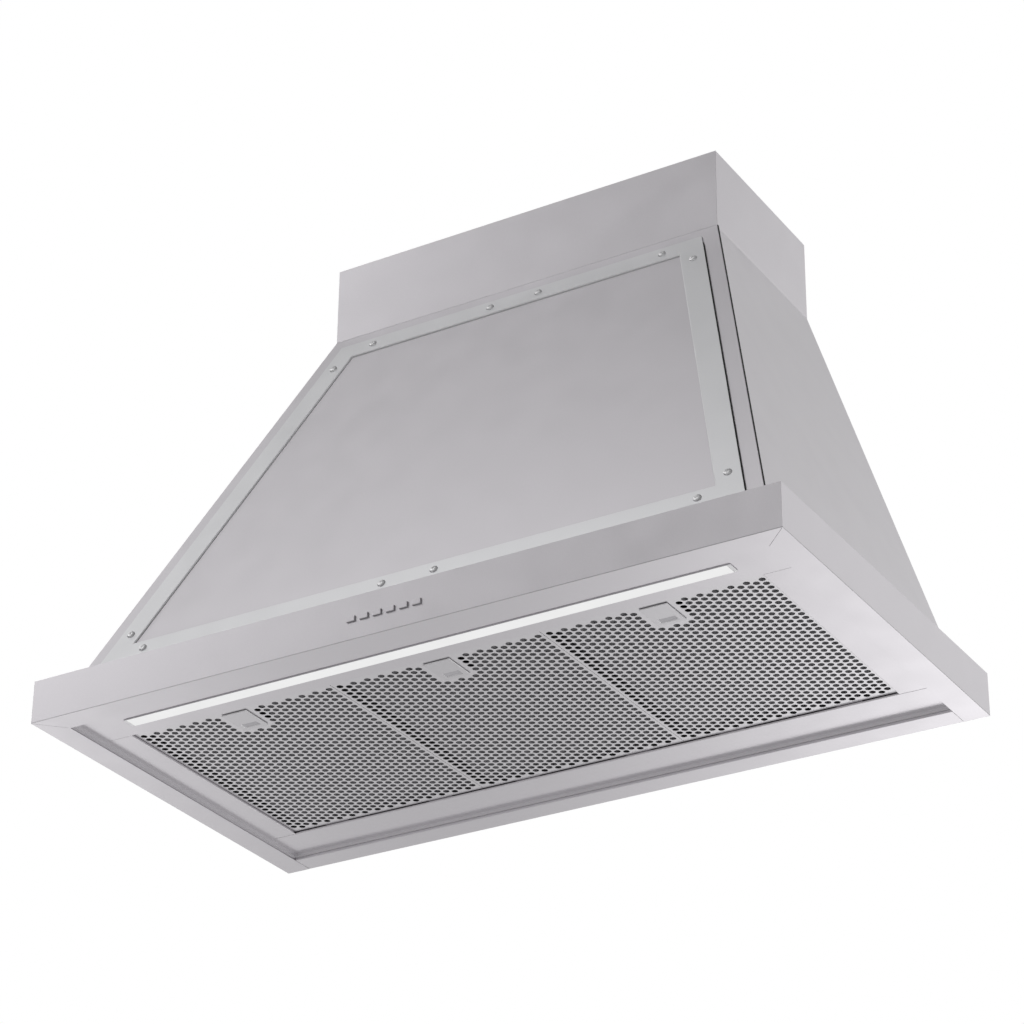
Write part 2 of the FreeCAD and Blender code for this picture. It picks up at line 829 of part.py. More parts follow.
def blower_bracket():
    """A folded strap that ties the scroll's back to the back plate."""
    y0 = fan_y() + scroll_growth / 2 + scroll_radius + 2 * scroll_growth + scroll_sheet
    y1 = y_wall - sheet
    z1 = z_fan + scroll_growth
    z0 = z1 - strap_thickness
    x = strap_width / 2
    web = mirrored_box(x, y0, y1, z0, z1)
    front = mirrored_box(x, y0, y0 + strap_thickness, z1 - strap_thickness, z1 + strap_height)
    back = mirrored_box(x, y1 - strap_thickness, y1, z1 - strap_height, z1)
    return fuse([web, front, back])


def blower_screws():
    """Screws under the outlet's flange, which hold the blower to the top plate."""
    x = scroll_half_width + scroll_sheet + outlet_flange / 2
    z = z_top - sheet - outlet_flange_thickness - blower_screw_height
    heads = []
    for side in (-1, 1):
        for y in (y_spigot - outlet_width / 3, y_spigot + outlet_width / 3):
            centre = Vector(side * x, y, z)
            heads.append(polygon_prism(centre, blower_screw_radius, 6, Z * blower_screw_height))
    return Part.makeCompound(heads)


def control_box():
    y1 = y_wall - sheet
    x = box_inset - x_foot
    body = box(x - box_width / 2, x + box_width / 2, y1 - box_depth, y1, box_z, box_z + box_height)
    return body.makeChamfer(box_chamfer, edges_at_y(body, y1 - box_depth))


def cable_gland():
    base = Vector(gland_x, y_wall - gland_inset, z_top)
    body = polygon_prism(base, gland_radius, 6, Z * gland_height)
    return body.cut(Part.makeCylinder(gland_bore, 3 * gland_height, base - Z * gland_height, Z))


# ---- filters ----


def hole_places(x_centre):
    """Centres of the honeycomb, column by column, with every other column half a row on."""
    margin = hole_border + hole_radius
    pitch_x = (filter_width - 2 * margin) / (hole_columns - 1)
    pitch_y = (filter_depth - 2 * margin) / (hole_rows - 0.5)
    clear_x = cap_width / 2 + guide_play + guide_wall + latch_clearing + hole_radius
    clear_y = guide_y1() + latch_clearing + hole_radius
    places = []
    for column in range(hole_columns):
        x = x_centre - filter_width / 2 + margin + column * pitch_x
        for row in range(hole_rows):
            y = y_filter + margin + (row + 0.5 * (column % 2)) * pitch_y
            if abs(x - x_centre) > clear_x or y > clear_y:
                places.append((x, y))
    return places


def latch_y0():
    return y_filter + latch_front


def filter_face(x_centre):
    half = filter_width / 2
    x0, x1 = x_centre - half, x_centre + half
    low, high = filter_level, filter_level + filter_wall
    outer = box(x0, x1, y_filter, y_filter_rear, low, high)
    t = filter_sheet
    tray = outer.cut(box(x0 + t, x1 - t, y_filter + t, y_filter_rear - t, low + t, high + t))
    tabs = []
    for side in (-1, 1):
        x = x_centre + side * tab_spacing / 2
        x0, x1 = x - tab_width / 2, x + tab_width / 2
        tabs.append(box(x0, x1, y_filter_rear, y_filter_rear + tab_length, low, low + t))
    tray = fuse([tray] + tabs)
    slot_half = boss_width / 2 + guide_play
    slot_y0 = latch_y0() + boss_start - guide_play
    slot_y1 = latch_y0() + boss_start + boss_length + latch_travel + guide_play
    half = tongue_width / 2 + guide_play
    notch_low, notch_top = tongue_band()
    cutters = [
        box(x_centre - slot_half, x_centre + slot_half, slot_y0, slot_y1, low - t, low + 2 * t),
        box(x_centre - half, x_centre + half, y_filter - t, y_filter + 2 * t, notch_low, notch_top),
    ]
    for x, y in hole_places(x_centre):
        cutters.append(polygon_prism(Vector(x, y, low - t), hole_radius, 6, Z * 3 * t))
    return tray.cut(Part.makeCompound(cutters))


def latch_pressed_y():
    """The rear end of the latch's cap when the latch is pulled back all the way, plus its play."""
    return latch_y0() + boss_start + boss_length + latch_travel + guide_play


def guide_y1():
    return latch_pressed_y() + spring_depth + guide_wall


def latch_bay(x_centre, z0, z1):
    half = cap_width / 2 + guide_play + guide_wall + mesh_clearance
    return box(x_centre - half, x_centre + half, y_filter - 1, guide_y1() + mesh_clearance, z0, z1)


def filter_mesh(x_centre):
    inset = filter_sheet + mesh_clearance
    half = filter_width / 2 - inset
    z0 = filter_level + filter_sheet
    y0, y1 = y_filter + inset, y_filter_rear - inset
    slab = box(x_centre - half, x_centre + half, y0, y1, z0, z0 + mesh_thickness)
    return slab.cut(latch_bay(x_centre, z0 - sheet, z0 + filter_wall))


def filter_retainer(x_centre):
    """The sheet frame that holds the mesh down, with a bar across its middle."""
    inset = filter_sheet + mesh_clearance
    half = filter_width / 2 - inset
    z0 = filter_level + filter_sheet + mesh_thickness
    y0, y1 = y_filter + inset, y_filter_rear - inset
    plate = box(x_centre - half, x_centre + half, y0, y1, z0, z0 + filter_sheet)
    x_in = half - retainer_border
    middle = (y0 + y1) / 2
    spans = [
        (y0 + retainer_border, middle - retainer_border / 2),
        (middle + retainer_border / 2, y1 - retainer_border),
    ]
    for low, high in spans:
        plate = plate.cut(box(x_centre - x_in, x_centre + x_in, low, high, z0 - sheet, z0 + 2 * sheet))
    return plate


def filter_latch(x_centre):
    y0 = latch_y0()
    z_plate = filter_level - latch_lift
    half = latch_width / 2
    plate = box(x_centre - half, x_centre + half, y0, y0 + latch_length, z_plate - latch_plate, z_plate)
    pocket_y1 = y0 + latch_length - pocket_edge
    pocket = box(
        x_centre - pocket_width / 2,
        x_centre + pocket_width / 2,
        pocket_y1 - pocket_length,
        pocket_y1,
        z_plate - latch_plate - 1,
        z_plate - latch_plate + pocket_depth,
    )
    cap_low = filter_level + filter_sheet + latch_lift
    boss = box(
        x_centre - boss_width / 2,
        x_centre + boss_width / 2,
        y0 + boss_start,
        y0 + boss_start + boss_length,
        z_plate - latch_plate / 4,
        cap_low + cap_thickness,
    )
    cap = box(
        x_centre - cap_width / 2,
        x_centre + cap_width / 2,
        y0 + boss_start,
        y0 + boss_start + boss_length,
        cap_low,
        cap_low + cap_thickness,
    )
    tongue_end = y_opening + tongue_clearance
    tongue = box(
        x_centre - tongue_width / 2,
        x_centre + tongue_width / 2,
        tongue_end,
        y0 + boss_start + 1,
        cap_low,
        cap_low + cap_thickness,
    )
    return fuse([plate, boss, cap, tongue]).cut(pocket)


def latch_guide(x_centre):
    """The bridge over the latch's cap, with a folded leaf spring in it, drawn at its pressed depth."""
    z0 = filter_level + filter_sheet
    inner_half = cap_width / 2 + guide_play
    half = inner_half + guide_wall
    cap_high = z0 + latch_lift + cap_thickness
    y0 = latch_y0() + boss_start
    y_pressed, y1 = latch_pressed_y(), guide_y1()
    outer = box(x_centre - half, x_centre + half, y0, y1, z0, cap_high + guide_run + guide_wall)
    x0, x1 = x_centre - inner_half, x_centre + inner_half
    tunnel = box(x0, x1, y0 - sheet, y1 - guide_wall, z0 - sheet, cap_high + guide_run)
    bridge = outer.cut(tunnel)
    x0, x1 = x_centre - spring_width / 2, x_centre + spring_width / 2
    z_leaf = z0 + guide_play
    near = box(x0, x1, y_pressed, y_pressed + spring_leaf, z_leaf, cap_high)
    far = box(x0, x1, y1 - guide_wall - spring_leaf, y1 - guide_wall, z_leaf, cap_high)
    bend = box(x0, x0 + spring_leaf, y_pressed, y1 - guide_wall, z_leaf, cap_high)
    return fuse([bridge, near, far, bend])


# ---- write every node ----


def all_nodes():
    nodes = {
        "rim_band": rim_band(),
        "rear_flange": rear_flange(),
        "support_ledge": support_ledge(),
        "light_panel": light_panel(),
        "rear_strip": rear_strip(),
        "left_strip": side_strip(-1),
        "right_strip": side_strip(1),
        "led_diffuser": led_diffuser(),
        "led_end_caps": led_end_caps(),
        "led_channel": led_channel(),
        "led_board": led_board(),
        "led_driver": led_driver(),
        "button_carrier": button_carrier(),
        "button_switches": button_switches(),
        "control_board": control_board(),
        "front_panel": front_panel(),
        "left_side_panel": side_panel(-1),
        "right_side_panel": side_panel(1),
        "back_plate": back_plate(),
        "top_plate": top_plate(),
        "collar": collar(),
        "trim_frame": trim_frame(),
        "panel_gasket": panel_gasket(),
        "centre_panel": centre_panel(),
        "frame_screws": frame_screws(),
        "spigot_flange": spigot_flange(),
        "outlet_spigot": outlet_spigot(),
        "damper_pin": damper_pin(),
        "damper_flap_front": damper_flap(-1),
        "damper_flap_rear": damper_flap(1),
        "blower_housing": blower_housing(),
        "impeller": impeller(),
        "motor_shaft": motor_shaft(),
        "motor": motor(),
        "motor_plate": motor_plate(),
        "blower_bracket": blower_bracket(),
        "blower_screws": blower_screws(),
        "control_box": control_box(),
        "cable_gland": cable_gland(),
    }
    for number, x in enumerate(button_places(), 1):
        nodes["button_%d" % number] = button(x)
    for name, x in zip(("left", "middle", "right"), filter_centres()):
        nodes["filter_face_" + name] = filter_face(x)
        nodes["filter_mesh_" + name] = filter_mesh(x)
        nodes["filter_retainer_" + name] = filter_retainer(x)
        nodes["filter_latch_" + name] = filter_latch(x)
        nodes["latch_guide_" + name] = latch_guide(x)
    return nodes


for node_name, node_shape in all_nodes().items():
    node_shape.exportStep("parts/%s.step" % node_name)
    volume = round(node_shape.Volume / 1000, 2)
    print(node_name, len(node_shape.Solids), "solid(s)", volume, "cm3", node_shape.isValid())
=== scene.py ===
# %% [markdown]
# # A wall-mounted canopy hood
# The hood is a sheet-metal product: a tapered stainless body on a flat rim, with a framed front
# panel, three perforated grease filters and a light bar below. The frame that is loaded here holds
# every sheet at its real size, so this lesson is about the finish of each surface, the round holes
# of the filters, the screw heads, and the studio in which it all hangs.

import json
import math

import bmesh
import bpy
from mathutils import Matrix, Vector


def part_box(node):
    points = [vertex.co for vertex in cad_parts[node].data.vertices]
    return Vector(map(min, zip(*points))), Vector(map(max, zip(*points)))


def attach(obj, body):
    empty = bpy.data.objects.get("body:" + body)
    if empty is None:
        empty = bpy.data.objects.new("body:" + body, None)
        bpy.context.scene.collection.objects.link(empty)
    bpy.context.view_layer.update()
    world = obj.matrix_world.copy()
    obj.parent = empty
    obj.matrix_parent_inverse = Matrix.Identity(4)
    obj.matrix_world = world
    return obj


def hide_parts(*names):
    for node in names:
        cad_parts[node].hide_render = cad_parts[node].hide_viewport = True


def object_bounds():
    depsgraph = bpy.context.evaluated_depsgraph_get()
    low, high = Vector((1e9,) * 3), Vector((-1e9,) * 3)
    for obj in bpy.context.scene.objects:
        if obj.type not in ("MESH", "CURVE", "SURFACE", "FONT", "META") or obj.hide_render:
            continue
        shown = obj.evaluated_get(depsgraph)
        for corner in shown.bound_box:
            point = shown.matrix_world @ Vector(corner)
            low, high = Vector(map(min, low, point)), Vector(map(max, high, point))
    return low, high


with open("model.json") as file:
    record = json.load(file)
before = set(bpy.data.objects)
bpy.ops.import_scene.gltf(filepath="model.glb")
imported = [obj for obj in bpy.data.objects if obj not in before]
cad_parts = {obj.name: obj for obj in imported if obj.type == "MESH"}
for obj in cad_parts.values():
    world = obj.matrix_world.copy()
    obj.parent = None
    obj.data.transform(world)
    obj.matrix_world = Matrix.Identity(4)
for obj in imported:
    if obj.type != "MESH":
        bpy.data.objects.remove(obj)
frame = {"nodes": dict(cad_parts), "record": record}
cad_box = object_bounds()
nodes = frame["nodes"]
print("pieces in the frame:", len(nodes), "box:", [round(v, 3) for corner in cad_box for v in corner])

# %% [markdown]
# The drawings of such a hood are in millimetres and Blender works in metres. One short function
# turns one into the other, so that every size below reads like the drawing. The front sheet leans
# back from the rim to the collar. Two directions are kept for it, up along the sheet and straight
# out of it, because screws, seals and the window's panel are placed by them.

# %% Millimetres and the slope of the front
def mm(value):
    return value / 1000


RIM_HEIGHT = mm(50)
BODY_FOOT = mm(30)       # the body starts this far inside the rim's front edge
BODY_HEIGHT = mm(508)
COLLAR_DEPTH = mm(226)
hood_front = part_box("rim_band")[0].y
wall = cad_box[1].y
slope_foot = Vector((0, hood_front + BODY_FOOT, RIM_HEIGHT))
slope_run = wall - COLLAR_DEPTH - slope_foot.y
slope_length = math.hypot(slope_run, BODY_HEIGHT)
up_slope = Vector((0, slope_run, BODY_HEIGHT)) / slope_length
off_slope = Vector((0, -up_slope.z, up_slope.y))
print("the front sheet is", round(slope_length * 1000), "mm from its foot to the collar")

# %% [markdown]
# The photograph looks up at the hood from the lower right with a long lens. The camera's place,
# turn and focal length were worked out from the hood's straight edges, so they are written as
# they are: a place in metres, and three angles.

# %% Camera
CAMERA_PLACE = Vector((1.6295, -2.6919, -1.4493))
CAMERA_YAW = -0.5435     # radians, and below zero to the left of straight ahead
CAMERA_PITCH = 0.4956    # upwards
CAMERA_ROLL = 0.0107
FOCAL_LENGTH = 113.9     # millimetres, as the sensor's width is
SENSOR_WIDTH = 36


def make_camera():
    ahead = Vector((
        math.sin(CAMERA_YAW) * math.cos(CAMERA_PITCH),
        math.cos(CAMERA_YAW) * math.cos(CAMERA_PITCH),
        math.sin(CAMERA_PITCH),
    ))
    level = Vector((math.cos(CAMERA_YAW), -math.sin(CAMERA_YAW), 0))
    upright = level.cross(ahead)
    right = level * math.cos(CAMERA_ROLL) + upright * math.sin(CAMERA_ROLL)
    top = right.cross(ahead)
    camera = bpy.data.objects.new("camera", bpy.data.cameras.new("camera"))
    camera.data.lens = FOCAL_LENGTH
    camera.data.sensor_width = SENSOR_WIDTH
    turn = Matrix((right, top, -ahead)).transposed()
    camera.matrix_world = Matrix.Translation(CAMERA_PLACE) @ turn.to_4x4()
    bpy.context.scene.collection.objects.link(camera)
    bpy.context.scene.camera = camera


make_camera()
print("camera", round(CAMERA_PLACE.length, 2), "m from the middle of the rim")

# %% [markdown]
# Every colour below is an sRGB hex value, as read in a paint program. Shaders calculate in linear
# light, so one function makes the change. A second function adds a node to a material, sets its
# options and fills its inputs: a value is set on the socket, and a socket is linked to it. Sockets
# that share a name are given by number. On a Mix node for colours, 0 is the share of the second
# colour, 6 and 7 are the two colours, and output 2 is the mixed one.

# %% Colour and nodes
def linear(hex_colour):
    """The sRGB standard's curve: a straight line near black, and a power of 2.4 above it."""
    channels = []
    for start in (1, 3, 5):
        value = int(hex_colour[start:start + 2], 16) / 255
        channels.append(value / 12.92 if value <= 0.04045 else ((value + 0.055) / 1.055) ** 2.4)
    return (*channels, 1.0)


def add_node(tree, kind, inputs=None, **options):
    node = tree.nodes.new(kind)
    for name, value in options.items():
        setattr(node, name, value)
    for name, value in (inputs or {}).items():
        if isinstance(value, bpy.types.NodeSocket):
            tree.links.new(value, node.inputs[name])
        else:
            node.inputs[name].default_value = value
    return node


print("mid grey is", round(linear("#808080")[0], 3), "in linear light")

# %% [markdown]
# The photograph was taken in a white studio. A metal sheet shows what lies in its mirror
# direction, so the studio matters more than any lamp: soft white panels, most of them left of the
# hood and behind it, a pale floor, and darker gaps between them. Panels far away can be painted
# straight on the world. Each is a soft round glow with a direction, a spread and a strength, added
# to an even grey. The directions were chosen by what each sheet mirrors, and the strengths were
# matched to the photograph. The camera itself sees plain white behind the hood, because a second
# background answers the camera's rays.

# %% Studio
EVEN_LIGHT = 0.21
LIGHT_MAP_WIDTH = 1024   # fine enough for the smallest glow to be found when light is sampled
GLOWS = {
    # name: (degrees to the left of the front, degrees above the horizon, spread in degrees, strength)
    "front_left_panel": (54, 33, 7, 4.58),
    "front_left_top": (48, 56, 7, 2.65),
    "front_fill": (8, 22, 7, 2.4),
    "left_wall_top": (104, 42, 7, 2.85),
    "back_left_low": (132, -23, 7, 2.13),
    "back_low": (166, -27, 7, 3.22),
    "back_top": (171, 54, 7, 1.11),
    "back_right_top": (-165, 30, 11, 1.0),
    "back_right": (-130, 10, 9, 2.0),
    "front_right_top": (-44, 52, 12, 0.7),
    "floor_front_left": (31, -25, 14, 0.73),
    "floor_front_right": (-31, -25, 14, 0.27),
    "floor_back_right": (-149, -25, 14, 0.33),
    "floor_right": (-90, -40, 25, 1.2),
    "floor_below": (0, -80, 25, 0.5),
}


def glow_axis(left, above):
    a, e = math.radians(left), math.radians(above)
    return Vector((-math.sin(a) * math.cos(e), -math.cos(a) * math.cos(e), math.sin(e)))


def add_glow(tree, direction, glow, below):
    """One glow on top of the light below it: strength * exp((cos(angle) - 1) / spread squared)."""
    left, above, spread, strength = glow
    axis = glow_axis(left, above)
    facing = add_node(tree, "ShaderNodeVectorMath", {0: direction, 1: axis}, operation="DOT_PRODUCT")
    sharpness = 1 / math.radians(spread) ** 2
    inputs = {0: facing.outputs["Value"], 1: sharpness, 2: -sharpness}
    falloff = add_node(tree, "ShaderNodeMath", inputs, operation="MULTIPLY_ADD")
    shape = add_node(tree, "ShaderNodeMath", {0: falloff.outputs[0]}, operation="EXPONENT")
    inputs = {0: shape.outputs[0], 1: strength, 2: below}
    return add_node(tree, "ShaderNodeMath", inputs, operation="MULTIPLY_ADD").outputs[0]


def make_studio():
    world = bpy.data.worlds.new("white_studio")
    bpy.context.scene.world = world
    world.use_nodes = True
    tree = world.node_tree
    tree.nodes.clear()
    direction = add_node(tree, "ShaderNodeTexCoord").outputs["Generated"]
    total = EVEN_LIGHT
    for glow in GLOWS.values():
        total = add_glow(tree, direction, glow, total)
    studio = add_node(tree, "ShaderNodeBackground", {"Color": linear("#FFFFFF"), "Strength": total})
    backdrop = add_node(tree, "ShaderNodeBackground", {"Color": linear("#FFFFFF"), "Strength": 1.0})
    seen = add_node(tree, "ShaderNodeLightPath").outputs["Is Camera Ray"]
    mix = add_node(tree, "ShaderNodeMixShader", {0: seen, 1: studio.outputs[0], 2: backdrop.outputs[0]})
    add_node(tree, "ShaderNodeOutputWorld", {"Surface": mix.outputs[0]})
    world.cycles.sampling_method = "MANUAL"
    world.cycles.sample_map_resolution = LIGHT_MAP_WIDTH


make_studio()
bpy.context.scene.view_settings.view_transform = "Standard"
print("studio glows:", len(GLOWS))

# %% [markdown]
# The hood hangs on a wall, so the floor is far below it, out of the photograph. It is a plain pale
# sheet that shows in views from above, and it lies low enough for views from underneath to miss
# it. It takes no part in the reflections, because the studio already has its white floor. Its
# paint is the first material, so the two helpers that open and close a material are made here.

# %% Floor
FLOOR_DROP = 4.6
FLOOR_SIZE = 30.0


def new_material(name):
    material = bpy.data.materials.new(name)
    material.use_nodes = True
    material.node_tree.nodes.clear()
    return material, material.node_tree


def finish_material(tree, shader):
    add_node(tree, "ShaderNodeOutputMaterial", {"Surface": shader.outputs[0]})


def floor_paint():
    material, tree = new_material("pale_floor_paint")
    inputs = {"Base Color": linear("#E9E8E6"), "Roughness": 0.7}
    finish_material(tree, add_node(tree, "ShaderNodeBsdfPrincipled", inputs))
    return material


def make_floor():
    half = FLOOR_SIZE / 2
    corners = [(x * half, y * half, -FLOOR_DROP) for x, y in ((-1, -1), (1, -1), (1, 1), (-1, 1))]
    mesh = bpy.data.meshes.new("floor")
    mesh.from_pydata(corners, [], [(0, 1, 2, 3)])
    mesh.materials.append(floor_paint())
    floor = bpy.data.objects.new("floor", mesh)
    bpy.context.scene.collection.objects.link(floor)
    floor.visible_glossy = False
    floor.visible_diffuse = False
    floor.visible_shadow = False


make_floor()
print("floor", FLOOR_DROP, "m below the rim")

# %% [markdown]
# ## Metal finishes
# The sheets are stainless steel, rolled and then brushed with a fine non-woven pad in small
# circles, which leaves an even satin grain with no direction. Seen from a step away it is a soft
# grey mirror with a faint cloudiness. The grain is a noise that bends the surface a little and
# shades its colour. Real scratches are about 0.1 mm wide, too fine to show here, so the grain is
# drawn 1.2 mm wide. A second, larger cloud varies the roughness as hand finishing does.

# %% Grain and clouds
GRAIN_WIDTH = mm(1.2)
CLOUD_WIDTH = mm(40)
CLOUD_SWING = 0.015      # how much the roughness rises and falls with the cloud
NOISE_LOW = 0.25         # nearly all of a noise lies between these two
NOISE_HIGH = 0.75


def surface_noise(tree, width, detail=2.0, stretch=(1, 1, 1)):
    place = add_node(tree, "ShaderNodeTexCoord").outputs["Object"]
    scaled = add_node(tree, "ShaderNodeMapping", {"Vector": place, "Scale": stretch})
    inputs = {"Vector": scaled.outputs[0], "Scale": 1 / width, "Detail": detail}
    return add_node(tree, "ShaderNodeTexNoise", inputs).outputs["Fac"]


def spread_value(tree, noise, middle, swing):
    """A value that follows the noise, from the middle less the swing to the middle plus it."""
    inputs = {
        "Value": noise,
        "From Min": NOISE_LOW,
        "From Max": NOISE_HIGH,
        "To Min": middle - swing,
        "To Max": middle + swing,
    }
    return add_node(tree, "ShaderNodeMapRange", inputs).outputs[0]


print("grain", GRAIN_WIDTH * 1000, "mm, clouds", CLOUD_WIDTH * 1000, "mm wide")

# %% [markdown]
# One function makes the material of every sheet, so the metals differ only in colour, roughness
# and depth of grain. The rim's band has one thing more: a darker tint on its bottom fold, painted
# shade that draws a thin line along the band's foot. It could be cut into the mesh, but a tint is
# enough: it lies on the lowest millimetre, where the face doesn't look down.

# %% Sheet metal
FOLD_HEIGHT = mm(1.1)
FACES_DOWN = -0.5        # a face whose normal's z is below this looks down


def painted_fold_shade_mask(tree):
    """Where the painted fold shade goes: 1 on the lowest millimetre of faces that don't look down, else 0.
    """
    true_normal = add_node(tree, "ShaderNodeNewGeometry").outputs["True Normal"]
    upward = add_node(tree, "ShaderNodeSeparateXYZ", {"Vector": true_normal}).outputs["Z"]
    upright = add_node(tree, "ShaderNodeMath", {0: upward, 1: FACES_DOWN}, operation="GREATER_THAN")
    place = add_node(tree, "ShaderNodeTexCoord").outputs["Object"]
    height = add_node(tree, "ShaderNodeSeparateXYZ", {"Vector": place}).outputs["Z"]
    low = add_node(tree, "ShaderNodeMath", {0: height, 1: FOLD_HEIGHT}, operation="LESS_THAN")
    inputs = {0: upright.outputs[0], 1: low.outputs[0]}
    return add_node(tree, "ShaderNodeMath", inputs, operation="MULTIPLY").outputs[0]


def sheet_metal(name, colour, shade, roughness, grain_depth, fold_shade=None):
    """A metal sheet of one colour, with a grain between that colour and a slightly darker shade."""
    material, tree = new_material(name)
    fine = surface_noise(tree, GRAIN_WIDTH)
    cloud = surface_noise(tree, CLOUD_WIDTH, 1.0)
    inputs = {0: fine, 6: linear(shade), 7: linear(colour)}
    tint = add_node(tree, "ShaderNodeMix", inputs, data_type="RGBA")
    # fold_shade is a darker colour painted on the band's fold: painted shade.
    if fold_shade:
        inputs = {0: painted_fold_shade_mask(tree), 6: tint.outputs[2], 7: linear(fold_shade)}
        tint = add_node(tree, "ShaderNodeMix", inputs, data_type="RGBA")
    bump = add_node(tree, "ShaderNodeBump", {"Height": fine, "Distance": grain_depth, "Strength": 1.0})
    inputs = {
        "Base Color": tint.outputs[2],
        "Metallic": 1.0,
        "Roughness": spread_value(tree, cloud, roughness, CLOUD_SWING),
        "Normal": bump.outputs[0],
    }
    finish_material(tree, add_node(tree, "ShaderNodeBsdfPrincipled", inputs))
    return material


print("the band's fold line is", FOLD_HEIGHT * 1000, "mm high")

# %% [markdown]
# Each metal has a colour, a shade for its grain, a roughness and the depth of its grain. Stainless
# steel as it is brushed for kitchens lies near a roughness of 0.3, and plated or unbrushed parts
# are duller.

# %% The hood's metals
# Satin stainless: the eye sees a warm-grey, slightly violet soft mirror.
satin_stainless = sheet_metal("satin_stainless_steel", "#D0CDD1", "#CAC7CB", 0.30, mm(0.004))
# The rim's band is the same sheet, with painted shade on its fold.
band_stainless_with_painted_shade = sheet_metal("satin_stainless_band_painted_fold_shade", "#D0CDD1", "#CAC7CB", 0.30, mm(0.004), "#ACAAAD")
# The frame is a lighter, cooler grey with a shallower grain.
trim_stainless = sheet_metal("trim_stainless_steel", "#DADADC", "#D5D5D7", 0.295, mm(0.003))
# The filters are a thinner sheet: a little paler, and a little duller.
filter_steel = sheet_metal("rolled_filter_steel", "#D2D0D3", "#CBC9CC", 0.32, mm(0.003))
# The inner ledge is sheet as it leaves the mill: pale, but duller.
ledge_sheet = sheet_metal("mill_finish_ledge_sheet", "#E0DFE1", "#DAD9DB", 0.42, mm(0.003))
# Screws and pins: pale nickel plate, and darker, bluer zinc plate.
bright_nickel = sheet_metal("bright_nickel_screw", "#D2D2D3", "#CBCBCC", 0.42, mm(0.001))
zinc_plate = sheet_metal("zinc_plate", "#B9BCC2", "#A9ADB5", 0.38, mm(0.004))
print("sheet metals:", satin_stainless.name, trim_stainless.name, filter_steel.name)

# %% [markdown]
# Behind the stainless sheets are galvanised ones. Hot zinc cools into flat crystals, called
# spangle, about 12 mm across, each catching the light at its own angle. A cell pattern gives each
# crystal its own grey and roughness.

# %% Galvanised sheet
SPANGLE_WIDTH = mm(12)


def galvanised_sheet():
    material, tree = new_material("galvanised_spangle_sheet")
    place = add_node(tree, "ShaderNodeTexCoord").outputs["Object"]
    cells = add_node(tree, "ShaderNodeTexVoronoi", {"Vector": place, "Scale": 1 / SPANGLE_WIDTH})
    value = add_node(tree, "ShaderNodeSeparateColor", {"Color": cells.outputs["Color"]}).outputs[0]
    inputs = {0: value, 6: linear("#9A9EA2"), 7: linear("#C2C5C8")}
    tint = add_node(tree, "ShaderNodeMix", inputs, data_type="RGBA")
    inputs = {
        "Base Color": tint.outputs[2],
        "Metallic": 1.0,
        "Roughness": spread_value(tree, value, middle=0.42, swing=0.08),
    }
    finish_material(tree, add_node(tree, "ShaderNodeBsdfPrincipled", inputs))
    return material


galvanised = galvanised_sheet()
print("galvanised crystals", SPANGLE_WIDTH * 1000, "mm wide")

# %% [markdown]
# ## Plastics, paint and rubber
# Moulded parts have a fine spark-eroded texture, about 0.3 mm, drawn here at 0.8 mm. Their index
# of refraction is that of the material, 1.41 for silicone and up to 1.58 for polycarbonate, and
# their gloss depends on the texture.

# %% Moulded and painted parts
MOULD_GRAIN = mm(0.8)
MOULD_DEPTH = mm(0.02)
MOULD_BUMP = 0.6         # the share of that depth that shows
MOULD_SWING = 0.04


def moulded(name, colour, shade, roughness, ior):
    material, tree = new_material(name)
    fine = surface_noise(tree, MOULD_GRAIN)
    inputs = {0: fine, 6: linear(shade), 7: linear(colour)}
    tint = add_node(tree, "ShaderNodeMix", inputs, data_type="RGBA")
    inputs = {"Height": fine, "Distance": MOULD_DEPTH, "Strength": MOULD_BUMP}
    bump = add_node(tree, "ShaderNodeBump", inputs)
    inputs = {
        "Base Color": tint.outputs[2],
        "Roughness": spread_value(tree, fine, roughness, MOULD_SWING),
        "IOR": ior,
        "Normal": bump.outputs[0],
    }
    finish_material(tree, add_node(tree, "ShaderNodeBsdfPrincipled", inputs))
    return material


# ABS housings: black and mid grey, a dull even surface.
black_abs = moulded("black_abs_moulding", "#1C1C1D", "#151516", 0.48, 1.53)
grey_abs = moulded("grey_abs_moulding", "#7C7D80", "#737477", 0.50, 1.53)
# The light bar's end caps: pale grey polycarbonate.
pale_polycarbonate = moulded("pale_grey_polycarbonate", "#E6E5E7", "#DEDDDF", 0.42, 1.58)
# The motor's shell: black stove enamel over steel, a little glossier.
black_enamel = moulded("black_stove_enamel", "#202124", "#191A1C", 0.34, 1.50)
# Painted shade for the black lines and bands: a matt black with the finish of EPDM rubber.
black_painted_shade = moulded("black_painted_shade_matt", "#0A0A0B", "#070708", 0.75, 1.52)
# The seal under the frame: dark grey silicone, which reads as a thin grey shadow line.
grey_silicone = moulded("dark_grey_silicone", "#3A393C", "#333235", 0.60, 1.41)
# Circuit boards: green solder mask, a thin glossy lacquer.
board_mask = moulded("green_solder_mask", "#1F5A38", "#1B4F31", 0.30, 1.50)
print("mouldings:", black_abs.name, grey_abs.name, pale_polycarbonate.name)

# %% [markdown]
# The light bar's channel is extruded aluminium with a clear anodised skin: pale, silky, with
# faint lines along its length. Stretching the noise along the bar draws these lines.

# %% Extruded aluminium
DIE_LINE_WIDTH = mm(1)
DIE_LINE_DEPTH = mm(0.01)
ALONG_THE_BAR = (0.02, 1, 1)     # the noise is stretched fifty times along x


